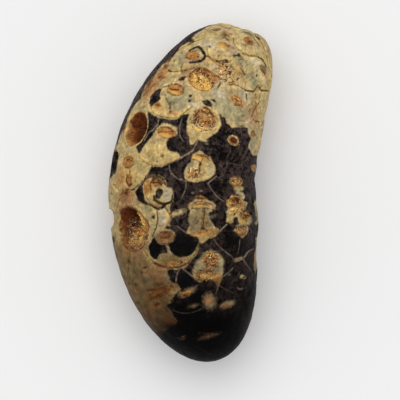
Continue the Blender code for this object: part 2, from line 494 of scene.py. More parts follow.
PITS = {
    "cavity_upper": Pit(60.4, -52.5, 4.2, 3.6, 4.5, 50, 0.34, 0.3),
    "cavity_lower": Pit(38.7, -46, 6.0, 4.8, 3.4, 260, 0.42, 0.5),
    "cavity_lower_throat": Pit(41.3, -48, 2.7, 2.0, 7.0, 0),
    "cavity_flank": Pit(53.0, -78, 3.2, 2.6, 2.2, 30, 0.36),
    "cavity_chip": Pit(41.3, -90, 13.0, 2.1, 1.5),
    "pit_stem_side": Pit(82.8, 1, 3.4, 2.2, 0.35, 0),
    "pit_orange": Pit(77.2, -14.2, 4.7, 3.0, 1.0, 120, 0.42, 0.4),
    "pit_swirled": Pit(68.0, 7, 3.4, 3.0, 1.0, 60, 0.36, 0.5),
    "pit_eye_upper_left": Pit(80.8, -41, 2.9, 1.5, 0.35),
    "pit_eye_upper_right": Pit(65.0, 39, 2.6, 1.6, 0.6, 16, 0.3),
    "pit_eye_right": Pit(50.6, 47, 2.7, 2.1, 0.5, 20, 0.34),
    "pit_rough_right": Pit(44.4, 48, 4.0, 2.5, 0.9, 50, 0.36),
    "pit_rough_flank": Pit(39.2, 60, 3.1, 2.6, 0.8, 36, 0.36),
    "pit_eye_middle": Pit(35.8, -14, 2.4, 1.7, 0.45, 12, 0.3),
    "pit_rough_low": Pit(27.8, 17, 2.6, 2.4, 0.8, 44, 0.36),
    "pit_rough_lowest": Pit(23.8, 11, 3.1, 1.9, 0.6, 30, 0.34),
    "pit_eye_low": Pit(16.8, 9, 2.1, 2.0, 0.4),
    "pit_eye_lowest": Pit(14.2, 28, 2.7, 1.2, 0.4),
    "pit_under_right": Pit(71.0, 121, 3.4, 2.6, 1.0, 50, 0.4),
    "pit_under_left": Pit(28.5, -128, 3.0, 2.2, 0.8, 40, 0.4),
}

# How strongly the stone is darkened, from the apex to the stem end: partly the dark mineral's stain, partly
# painted shade of the lower end, which is turned away from the light.
TINT_AND_SHADE_ALONG_MM = (0.0, 8.0, 15.0, 25.0, 40.0, 60.0, 80.0)
TINT_AND_SHADE_SHARE = (0.98, 0.93, 0.83, 0.48, 0.22, 0.06, 0.0)

# Broad swellings and hollows of the right flank: along, around, radius and height.
BULGES = (
    (71, 90, 5.5, 0.45), (61.5, 90, 1.8, -0.35), (53, 90, 3, -0.45), (37, 90, 5, 0.6), (26.5, 90, 3, -0.6),
)

# The black field of the lower half, and the dark gaps that run up between the scales of the left side.
BLACK_FIELDS = (
    # the field itself, whose right side runs in and out between the pale scales of the flank
    Patch(Layer.BLACK, pairs(
        18, 71, 20, 70.6, 23, 70.8, 25, 69.8, 27, 69.2, 29, 69.4, 32, 68.8, 36, 69.4, 40, 70, 45, 70.6,
        50, 71, 52, 69.8, 55, 68.8, 59, 68.1, 58, 66.1, 58, 64.8, 62, 64, 64, 63.2, 67.3, 62.6,
        70.4, 62.6, 78, 63, 110, 63, 110, 47, 98, 46, 88, 44.2, 80, 45, 75, 43.4, 77, 40, 74.5, 36.6,
        80, 35.6, 90, 37, 110, 36, 110, 31, 92, 30, 84, 31.6, 78, 31.4, 76, 28.3, 71.2, 26.6, 71.5, 22,
        78, 20.6, 88, 22.4, 110, 20, 110, -3, -110, -3, -110, 10.5, -77.3, 10.9, -69.7, 10.6, -64.7, 10.9,
        -54.5, 11.5, -49.5, 12, -39.3, 12.6, -30.5, 13.2, -28.6, 14.1, -29.8, 15.3, -29.8, 17.1,
        -33, 18.6, -29.8, 18.9, -25.4, 19.1, -22.9, 20, -19.7, 20.9, -16.5, 21.5, -12.5, 21.9,
        -13.4, 22.4, -14, 23.6, -16, 24, -19, 24.2, -20.3, 25, -20, 26.7, -20, 29, -31, 31.5, -31.4, 32.2,
        -31.1, 33.3, -31, 34.1, -25, 36.1, -15, 38.8, -10.5, 38.5, -9.5, 40, -10, 43, -9, 44.4, -7, 44.7,
        -6.6, 46.6, -8, 48, -12, 48.3, -12.6, 49.4, -15, 50.5, -19, 51.1, -25, 50.8, -30, 50.1, -33, 48.4,
        -32, 46.6, -30, 45.1, -26, 44, -30, 43.9, -36, 44.9, -39.8, 46.8, -38, 47.7, -33, 49.4, -29, 51.1,
        -26, 53, -18, 53.2, -11, 54.3, -6, 55.5, -1.8, 56.6, 1.3, 57.5, 4.2, 58.7, 5.2, 61.9, 7, 61.9,
        9, 62.1, 12, 62.4, 13.5, 63, 16, 64.2, 19, 65.5, 20.5, 66.5, 21.4, 68, 20, 69, 18, 70, 15, 71.1,
    )),
    Patch(Layer.BLACK, pairs(
        -110, -3, -110, 9.8, -77.3, 10.3, -69.7, 10.2, -54.5, 11, -39.3, 12.2, -30.5, 12.8, -27.6, 14.4,
        -28, 17.6, -24, 19.4, -17, 20.6, -10, 20, 0, 12, 20, 4, 20, -3,
    ), 1.2),
    # arms round the scale left of the middle
    Patch(Layer.BLACK, pairs(
        -46, 64.8, -40, 64.4, -31, 64.2, -20, 64.8, -16, 65.4, -13.4, 66.9, -8, 67.6, -7.5, 65.5,
        -5.5, 63.8, -3.7, 62.7, -1.2, 61.9, 0.1, 60.7, 1.3, 60.2, 3.6, 60.4, 4.8, 61.3, 5.4, 62.3,
        6.4, 61, 4.2, 58.9, 1.3, 57.7, -1.8, 56.8, -4.5, 56.2, -6, 56.9, -8, 57.3, -12, 57.2, -15.4, 57.5,
        -17.6, 58.4, -18, 59.5, -16.4, 60.6, -13, 61, -11.5, 61.8, -13.5, 63.2, -20, 63.6, -27, 63.2,
        -29.5, 62, -31.7, 59.8, -37, 57.5, -40, 55.2, -45.4, 56.6, -44, 59.2, -42, 61.9, -45, 63.5,
    )),
    # gaps between the upper scales
    Patch(Layer.BLACK, pairs(
        -44, 70.7, -43, 69.4, -38.6, 68.2, -41, 67.4, -44, 66.7, -46, 65.8, -50, 66.5, -52.8, 67.9,
        -50.5, 69.4, -47, 70.4,
    ), 0.22),
    Patch(Layer.BLACK, pairs(-3, 72.2, 1, 73.2, 6, 72.8, 8, 71.8, 3, 71.4, -1, 71.6), 0.25),
    Patch(Layer.BLACK, pairs(-34.5, 74.2, -32, 75.6, -28.5, 75.9, -28, 74.8, -31, 74), 0.25),
    # notch of the worn scale left of the middle
    Patch(Layer.BLACK, pairs(
        -20.8, 46, -20.6, 47.3, -18.5, 48, -15, 47.7, -14.2, 47.2, -15.6, 46.2, -17.4, 45.4, -20, 45.4,
    ), 0.18),
    Patch(Layer.BLACK, pairs(-55, 76, -53, 75.5, -48, 75.3, -44, 75.7, -47, 75, -52, 75), 0.15),
    # hollow of the left edge, and the dark left edge above it
    Patch(Layer.BLACK, pairs(-94, 48.5, -76, 49.7, -67, 51, -67, 54, -75, 54.8, -94, 56), 0.4),
    Patch(Layer.BLACK, pairs(
        -110, 48, -94, 56, -76, 56.5, -73, 59, -70, 61, -72, 64, -67.5, 67, -70, 70, -65, 73, -67, 76,
        -62.5, 79, -66, 81.5, -60.5, 84, -64.5, 87, -67, 90, -110, 95,
    ), 0.45),
    *spots(Layer.BLACK,
        (6.5, 73.7, 2.6, 0.35, 0.2), (-14.6, 72, 1.6, 0.45, 0.2), (-13, 70.7, 1.2, 0.4, 0.2),
        (8, 87.8, 2.4, 0.6, 0.3), (3, 87, 2.2, 0.4, 0.35), (39.6, 85.3, 1.1, 0.4, 0.2),
        (-60.5, 84.6, 5.5, 0.65, 0.3), (-29, 85.75, 1.6, 0.25, 0.3), (-23.5, 41, 1.6, 0.5, 0.25),
        (-79, 36.7, 5, 0.8, 0.3), (75, 37.9, 5.5, 1.2, 0.5), (-22.3, 54.25, 0.7, 0.22, 0.15),
        (43, 77.4, 1.2, 0.25, 0.2), (-54, 77.9, 1.4, 0.16, 0.2),
    ),
    *lines(Layer.BLACK, 0.2, (0.2, 5, 87.4, 7, 87.9, 11, 87.5), (0.14, 38, 70.3, 44, 70.75, 50, 70.7)),
    *lines(Layer.BLACK, 0.22,
        (0.42, -46, 82, -44, 83, -41, 84.1, -36, 84, -31, 83.5, -26.6, 83.2, -25, 82.4, -26, 81.2,
         -30, 80.1, -34, 79.4),
    ),
    *lines(Layer.BLACK, 0.25,
        (0.14, -44, 71, -40.5, 71.8, -38, 72.8), (0.12, 37, 89.85, 42, 89.8, 47, 89.4, 51, 88.8, 55, 88.4),
    ),
    *lines(Layer.BLACK, 0.4, (0.3, 33, 94.2, 49, 94.2)),
)

# Pale places that lie inside the black, cut out of it again.
PALE_ISLANDS = (
    # lower band of the broad scale of the middle, with the weathered eye above it
    Patch(Layer.BLACK, pairs(
        -31.5, 30.9, -26.7, 30.5, -24.1, 31.6, -20.3, 31.9, -16.5, 31.6, -15.6, 32.6, -16, 34, -13.7, 33.6,
        -12.7, 31.9, -10.8, 31, -6.4, 30.1, -1.3, 29.8, 3.1, 30.3, 7, 31.3, 9, 32.6, 10.6, 33, 10.4, 32.2,
        8.9, 31.1, 7, 30.1, 3.2, 29.3, 1.8, 28.7, -1.3, 27.8, -5.1, 27, -8.3, 27.3, -11.5, 27,
        -15.3, 27.5, -19.7, 27.7, -23.5, 28.4, -29.2, 29.6, -34, 32,
    ), cut=True),
    # pale scale above it
    Patch(Layer.BLACK, pairs(
        -21, 38.2, -20.4, 43.4, -12.6, 43.4, -9.8, 41, -10.2, 39.2, -14, 38.2, -16, 37.4,
    ), cut=True),
    # scale right of the middle, with its cap
    Patch(Layer.BLACK, pairs(
        4.5, 56, 4.6, 57.5, 7, 58.3, 9, 59, 12, 59, 13.5, 58.3, 16, 58.2, 19, 58, 21, 57, 22.5, 56.3,
        24, 55.8, 25.3, 54.5, 25, 53.3, 23, 52.2, 20, 51.4, 17, 50.7, 12, 50.2, 7, 50.1, 3, 50.4, 1.4, 51,
        0.4, 52.2, 0.8, 53.4, 2.2, 54.5, 3.8, 55.2, 4.7, 55.7,
    ), cut=True),
    # mushroom-shaped scale: its cap, its body and its foot
    Patch(Layer.BLACK, pairs(
        4.6, 43.4, 6.5, 44.4, 9.5, 45, 10.5, 45.9, 14, 46.4, 18, 46, 20.5, 45, 24, 44.3, 27, 43.6,
        26.4, 42.5, 24, 41.8, 20.6, 41.2, 20.4, 40.2, 22, 39, 24, 37.9, 25.4, 36.9, 28.4, 36.2,
        29.2, 35.3, 27, 34.6, 24, 34, 20, 33.8, 17, 33.2, 14, 32.7, 11, 33, 11.2, 34.1, 9, 34.8, 5, 35.4,
        1.6, 36.1, 3, 37.1, 5, 38.3, 4.2, 39.5, 4.8, 40.9, 6, 41.9, 5, 42.6,
    ), cut=True),
    # rough scale of the right side and the eye under it
    Patch(Layer.BLACK, pairs(
        36.4, 43.4, 37.5, 45.1, 41, 45.2, 42.2, 46.6, 44, 46.9, 46, 46.3, 46.4, 47.8, 48.5, 48.4, 52, 47.8,
        56, 47.6, 58.6, 46.4, 58, 44.6, 62.6, 43.9, 60, 42.8, 58, 42.1, 62, 41.1, 67, 39.6, 69.6, 37.8,
        68, 36.5, 63, 36.1, 58, 36.7, 52, 36.6, 49.5, 37.6, 47.5, 39.2, 44.6, 39.2, 43.4, 37.8, 40, 37.3,
        36.2, 38, 37, 39.6, 36, 41.4, 39.4, 42.4,
    ), 0.35, cut=True),
    Patch(Layer.BLACK, pairs(
        42.5, 35, 45.5, 36.2, 50, 36.9, 55, 36.9, 60.2, 36, 61.5, 34.6, 58, 33.2, 53, 32.2, 49.5, 32.6,
        46, 34,
    ), 0.4, cut=True),
    # two rough eyes and their halo, low in the middle
    Patch(Layer.BLACK, pairs(
        2.6, 26.8, 6.4, 28.3, 10.2, 28.9, 12.1, 30.1, 15.9, 30.4, 20.3, 30.2, 23.5, 29.9, 26, 28.8,
        28.6, 27.6, 29.4, 26.4, 28, 25, 27, 23.3, 25.4, 21.8, 22.9, 20.6, 21, 20.2, 19.1, 21.2,
        15.9, 22.3, 10.8, 22.7, 5.1, 22.5, 1.3, 23.3, 0.1, 24.2, 0.7, 25.1,
    ), 0.45, cut=True),
    # meeting of the veins at the right
    Patch(Layer.BLACK, pairs(
        41, 26.2, 43, 26.4, 51, 26.5, 53, 26.1, 49, 25.7, 44, 25.6, 42, 25.6,
    ), 0.4, cut=True),
    *spots(Layer.BLACK,
        (-15.5, 36, 8.2, 1.95, 0.3), (-52.5, 60.4, 13.7, 4.15, 0.2), (47, 51.5, 7.2, 1.75, 0.4),
        (49.5, 49.1, 5.2, 1, 0.5), (37.4, 65.15, 6.4, 1.6, 0.28, -8), (73.5, 57.7, 7.2, 1.4, 0.4),
        (9.6, 17, 6.2, 2.2, 0.9), (28.4, 14.4, 8.6, 1.1, 0.45), (-8.5, 20.7, 8, 0.95, 0.5, 8),
        (-7, 16.7, 4.6, 0.5, 0.5), (47.6, 21, 2.6, 0.5, 0.2), (-3, 41.8, 4.6, 0.6, 0.5, 12),
        (-7, 41.2, 1.6, 0.5, 0.4), (-1, 7.3, 10, 0.55, 0.8), (2, 61.2, 2.6, 0.7, 0.3),
        (10.5, 62.3, 3, 0.35, 0.3, 8), (-14, 43.9, 2.6, 0.45, 0.3, 10),
        cut=True),
    *lines(Layer.BLACK, 0.16, (0.08, 48, 20.5, 51, 20.2, 53, 20.2), cut=True),
    *lines(Layer.BLACK, 0.18, (0.1, 48, 21.2, 51.5, 20.9, 54.5, 20.4), cut=True),
    *lines(Layer.BLACK, 0.28,
        (0.12, -45, 9.3, -38, 8.95, -29, 9.25), (0.1, -43, 8.5, -36, 8.3, -31, 8.6),
        cut=True),
    *lines(Layer.BLACK, 0.4, (0.1, -12, 9, -6, 8.7, 2, 8.1, 8, 7.9), cut=True),
)

# Thin pale veins where mineral filled the gaps between scales.
VEINS = (
    *spots(Layer.VEIN,
        (-9, 51.7, 0.9, 0.22, 0.2), (-1.4, 50.5, 1.4, 0.3, 0.25), (33.6, 22.5, 1.6, 0.28, 0.25),
        (46.5, 26, 5.5, 0.3, 0.4), (8.3, 47.1, 1, 0.25, 0.3), (14.6, 47.7, 0.8, 0.2, 0.3),
        (23.5, 40, 2.6, 0.3, 0.6, 20), (-34, 18.5, 1.4, 0.2, 0.25), (14, 61.6, 1, 0.25, 0.4),
    ),
    *lines(Layer.VEIN, 0.16,
        (0.13, 6.2, 61.6, 5.2, 60.2, 4.6, 59, 3, 58.3, -1, 57, -4, 56.2, -6, 55.9, -9, 54.9),
        (0.3, -4.6, 56, -3, 56.4), (0.12, -12.4, 54, -10.5, 52.3, -8, 51.5, -4.5, 50.7, -1, 50.4, 3, 50.1),
        (0.12, 2.6, 50, 3, 48.5, 1.5, 47, 0, 45.9), (0.1, -27, 52.8, -28, 51.4, -29.6, 50.4),
        # the line from (-26, 53.35) to (-14, 53.9) is a painted highlight along a scale's rim
        (0.16, -40, 47.7, -36, 48.5, -32, 49.5), (0.12, -26, 53.35, -20, 53.3, -14, 53.9),
        (0.2, -45, 64, -41.6, 62.6, -41, 61, -41.5, 59.5, -43, 58.5, -46, 57.5, -50, 56.8, -57, 56.4,
         -62, 57),
        (0.17, 26.9, 52.5, 24.5, 51.6, 21.6, 50.5, 20.3, 50, 22.9, 48.6, 26.7, 46.8, 31.1, 45.3,
         34.3, 44.6),
        (0.06, 28, 52, 33, 53, 34.6, 54.5, 35.5, 56.2, 35, 58, 34.6, 59.2, 36.5, 61.3, 35.5, 62.2),
        (0.05, 36, 57.4, 42, 57.6, 50, 57.6, 55, 59.2, 58.9, 60.4, 62, 60),
        (0.16, -32, 63.8, -30.5, 62.7, -33, 61.1, -36, 60.4, -38.5, 58.5),
        (0.1, -12.5, 66.3, -11.8, 63.8, -9, 61.6, -5, 60.4), (0.18, -5, 38.3, -1.2, 37.1, 2, 36.1),
        (0.2, 29.2, 35.4, 33, 36.4, 36.8, 37.3),
        (0.2, 23.5, 33.3, 26, 31.6, 28.6, 30.4, 33, 28.9, 37.4, 27.7, 40.6, 26.5, 42.5, 25.8),
        (0.2, 52, 25.8, 54.5, 24.5, 58.3, 23.3, 62.1, 22.4, 66.6, 21.7),
        (0.24, 52, 26, 55.2, 26.5, 58.3, 27.2, 62.1, 27.8, 68, 28.1),
        (0.17, 26, 22.3, 28.6, 22.4, 30.5, 22.8, 35.5, 23.4, 38.7, 24),
        (0.2, -8.3, 27.4, -11.5, 26.4, -14, 25.1, -14.8, 24.2), (0.2, -6.4, 26.9, -3.2, 25.7, -0.1, 24.5),
        (0.2, 21, 20.4, 19.7, 19.4, 17.2, 18.3), (0.1, 21.5, 20.3, 26.7, 18.9, 30.5, 18, 35.5, 17.2),
        (0.15, -5, 21.1, -1.2, 21.5, 2.6, 21.9),
        (0.13, -27.9, 17.1, -24.1, 16.2, -19.7, 15.6, -14, 15.1, -7.7, 14.95, -1.3, 15.2, 5, 15.7),
        (0.24, 41.5, 18.2, 43.5, 17.7, 46.4, 17.45, 49, 17.6), (0.13, 48.6, 32, 47.6, 29.6, 46, 27.8),
        (0.06, 60.2, 35.8, 65, 34.6, 70, 33.5),
    ),
)

# Cracks and the inner lines of weathered scales, brown on the pale stone.
CRACKS = (
    *lines(Layer.BLACK, 0.2,
        (0.2, -17, 44.4, -15, 44.1, -11, 44.2, -8, 44.8, -7.2, 46.4),
        (0.18, -26, 44, -22, 43.2, -19, 42.8, -17, 42.9, -14, 43.6, -12.5, 42.9, -10, 41.4),
        (0.1, -38, 48.2, -43, 47.4, -50, 47.4),
    ),
    *lines(Layer.RUST, 0.2, (0.24, -21.6, 45.8, -21, 45, -19, 44.5, -17, 44.3)),
    *spots(Layer.SEAM, (12, 57.8, 1.6, 0.24, 0.2), (-19, 55.8, 1.6, 0.4, 0.4)),
    *lines(Layer.SEAM, 0.16,
        (0.06, 1, 89.2, 13, 88.8, 23, 89.2), (0.08, 27, 89.6, 34, 89.7),
        (0.2, 36, 89.8, 43, 89.8, 50, 88.9, 55, 88.5), (0.2, -65, 85, -60, 84.6, -54, 84.9),
        (0.12, 15, 57.9, 18, 57.5, 19.5, 56.8), (0.14, 6, 56.3, 9, 56.2, 12, 55.9, 12.2, 55.1),
        (0.12, 11, 56, 12, 55, 12, 53.4),
        (0.14, 7, 53, 9, 53.5, 11.4, 53.4, 12, 52.6, 14, 52.2, 15.6, 52.3),
        (0.15, 6.6, 52, 8, 51.4, 10, 51.5, 11.2, 52), (0.1, 3.4, 54.5, 3.6, 53, 5, 51.4),
        (0.12, 7.5, 42.9, 8, 43.8, 11, 44.5, 15, 44.6, 20, 44.2, 24, 43.6, 26.4, 42.7, 25, 42.1, 22, 42.3,
         19, 42.8, 15, 42.7, 7.5, 42.8),
        (0.14, 10.5, 45.4, 13, 45.7, 16, 45.4, 19, 45.5, 21, 45),
        (0.1, 11, 43.6, 14, 43.9, 18, 43.6, 22, 43.2),
        (0.17, 17.4, 42.4, 17, 41, 16.1, 39.6, 15.6, 38, 15.3, 36.9),
        (0.1, 10, 38.4, 13, 39.7, 15.4, 40.5, 15.6, 42.3), (0.11, 15, 40, 14.4, 38.5, 14.6, 37),
        (0.17, 13, 36.7, 15, 37.1, 17, 36.4, 19, 35.9), (0.12, 5, 35.6, 9, 34.8, 12, 34.3),
        (0.2, -36, 48.4, -31, 49.7, -30, 50.1), (0.19, 55, 74.2, 60, 74.1, 65, 74.4, 70, 74.6),
        (0.24, 50, 83.2, 55, 82.8, 62, 83.2, 72, 83.7),
        (0.24, 32, 80.5, 37, 80.9, 44, 81.5, 45.6, 82.4, 46.2, 83.4),
        (0.19, -24, 83.4, -17, 83.2, -10, 83.5, -5, 84.4, -2, 84.9), (0.2, 18.4, 81.9, 19.4, 82.5),
        (0.24, 34.8, 79.7, 36.4, 78.9, 38.4, 78.3), (0.14, 14, 79.5, 18, 80.4, 25, 80.6, 32, 80.5),
        (0.14, 56, 83, 57, 79.5, 54, 76.4, 52, 74.4), (0.18, -41, 78.3, -39, 77, -36, 76.4),
        (0.08, -30, 90, -26, 89.4, -21, 90.2, -14, 90),
        (0.12, -34, 32, -29.2, 29.8, -26.7, 29.2, -23.5, 28.7, -19.7, 28, -15.3, 27.8, -11.5, 27.5),
        (0.1, -59.6, 36.4, -54.5, 34.8, -49.5, 33.9, -43.1, 33.6, -38.1, 33.9, -34.3, 35, -31.6, 36.8),
        (0.23, -71, 26.2, -68.6, 26.4, -66, 26), (0.13, -63.5, 26.3, -61, 26.8, -58, 27.4),
        (0.2, -52, 53.6, -49, 53.8, -46, 53.6), (0.27, -49, 50.5, -49, 49.2, -46, 48.2, -43, 48.7),
        (0.2, -19.7, 40.6, -21.6, 38.5, -26, 36.4),
        (0.35, -22, 46, -21, 45, -17, 44.4, -15, 44.2, -12, 44.3, -8, 44.6),
        (0.24, -26, 44, -20, 43.2, -17, 43.2, -13, 43.9), (0.2, -20.4, 43, -19.8, 40.6),
        (0.27, -30, 50, -25, 50.6, -19, 50.9, -15, 50.2, -13, 49),
        (0.2, -24.5, 47.6, -25.4, 49, -23, 50, -20, 50.1, -15.4, 49.3),
        (0.2, -23, 49.2, -19, 49.3, -16, 48.8), (0.18, -28, 68.4, -26.4, 67.2, -24, 66.5),
        (0.24, -21.8, 46, -22.6, 45), (0.15, -37, 69.6, -31, 68.4, -25.5, 67.4, -25, 66.2),
    ),
)

# Soft changes of colour in the pale stone.
TONES = (
    *spots(Layer.GREY,
        (-20, 69.8, 11, 2.6, 1.4), (-3, 68.5, 7, 2.5, 1.6), (25, 74.3, 22, 3.6, 2.2), (36, 82, 12, 3.4, 2),
        (14, 86.8, 12, 1.8, 1.4), (-50, 79.6, 7, 1.4, 1), (12.8, 39, 9, 3, 1), (18, 26, 13, 4.6, 1.2),
        (62, 67, 10, 5, 2), (76, 38, 12, 7, 2), (-32, 33, 4, 2, 1.2), (-44, 26, 8, 1.8, 1.6),
        (-74, 29, 8, 3, 2), (30, 73, 16, 2.4, 1.4),
    ),
    *spots(Layer.CREAM,
        (-22.6, 46.4, 1.6, 1.8, 0.4), (-18.5, 43.8, 4, 0.45, 0.3), (-22, 56, 14, 2.6, 1), (17, 54, 9, 3, 1),
        (6, 63.8, 10, 2, 1), (5, 84, 10, 1.6, 1.2), (-10, 84.6, 10, 1.2, 1), (-36, 66.4, 9, 1.2, 0.8),
        (-14, 66.4, 6, 0.8, 0.8), (-50, 51, 14, 3.4, 1.6), (-28, 47, 4, 2.6, 0.8), (44, 41.6, 7, 3, 1),
        (15, 35, 12, 0.9, 0.8), (56, 38.4, 9, 1.4, 0.8), (-14, 30.2, 5, 0.7, 0.6), (-64, 24.2, 7, 1.4, 1.2),
        (-44, 88.4, 10, 1.2, 1),
    ),
    *spots(Layer.LILAC,
        (-11, 46.3, 3.2, 1.7, 0.4), (-15, 41, 3.8, 2.3, 0.6), (-22.4, 26.6, 2.6, 1.9, 0.7),
        (-41, 28.5, 4, 0.35, 0.25), (-33, 86.5, 10, 1.5, 1.2), (-4, 88.6, 7, 1, 0.8),
        (0, 78.6, 7, 0.9, 0.8), (-6, 70.2, 5, 1, 0.8), (33, 78.5, 8, 1.8, 1.5), (3, 83.6, 5, 1, 1),
        (52, 73, 5, 2, 1.5), (50, 47.6, 5.4, 0.6, 0.3), (57, 45.9, 1.8, 1.4, 0.3),
        (21.4, 54.2, 2.6, 1.2, 0.7),
    ),
    Patch(Layer.OLIVE, pairs(
        -110, 8, -30, 8, -26, 20, -19, 24, -19, 27.6, -29, 29.4, -35, 32.4, -45, 33.4, -60, 35.4, -70, 37,
        -110, 36,
    ), 2.2),
    *spots(Layer.OLIVE, (9, 39.4, 5, 2.4, 2.6), (19, 38.4, 3, 1.4, 2.2), (-19, 29.4, 15, 1.6, 1.2)),
    *spots(Layer.ROSE,
        (-18.5, 43.8, 4.5, 0.5, 0.4), (-29, 27.2, 8, 2.2, 1.6), (-15.4, 35.8, 6.6, 1.5, 0.5),
        (9.2, 17, 5, 1.6, 0.8), (26.4, 14, 6, 0.9, 0.8), (-38, 8.8, 12, 1.4, 0.4), (-1, 7.6, 14, 1.8, 0.4),
        (-58, 71, 9, 3.6, 2), (-58, 24.3, 7, 0.6, 0.8), (-60, 17.3, 12, 2, 1.5), (-37, 16, 4, 1.6, 1.2),
        (-32, 76.8, 4, 2.2, 1.2), (-5.5, 88.5, 5, 0.8, 0.8), (55, 75.5, 10, 3.5, 2),
        (-50, 44.5, 12, 2.6, 1.6), (-44, 33.6, 12, 1.6, 1.2), (-8, 27.4, 3, 0.9, 0.5),
        (71, 57.5, 8, 1.8, 1.2),
    ),
)

# The eyes of the scales: worn bosses of ochre with a dark rim.
EYES = (
    Eye(-48, 91.4, 8.5, 0.8, 0, 0, layer=Layer.OLIVE),
    Eye(14, 92.05, 8.5, 0.85, 0, 0),
    Eye(-38.5, 81.2, 8.6, 1.25, 10, 0.3, 0.08),
    Eye(48.5, 87.5, 7.5, 0.75, -10, 0, layer=Layer.OLIVE),
    Eye(27, 76.8, 6.0, 0.95, -8, 0.4, 0.16),
    Eye(-56, 73.2, 4.2, 0.7, 0, 0.4),
    Eye(-30.5, 71.7, 8.6, 1.45, 4, 0),
    Eye(37.4, 65.2, 5.0, 1.1, -8, 0),
    Eye(61, 69.9, 4.4, 0.8, 0, 0.4),
    Eye(-20.5, 61.4, 7.8, 1.35, 0, 0),
    Eye(73.5, 57.7, 5.6, 1.0),
    Eye(-49.5, 53.2, 6.4, 1.1, 0, 0),
    Eye(-46, 49.3, 2.8, 0.95, 0, 0),
    Eye(46.6, 51.7, 6.2, 1.5, 0, 0),
    Eye(-15.4, 35.8, 7.0, 1.6, 0, 0.5, 0.2, Layer.OLIVE),
    Eye(51.5, 34.6, 6.6, 1.4, 0, 0.5),
    Eye(-9.5, 20.6, 6.4, 0.75, 8),
)

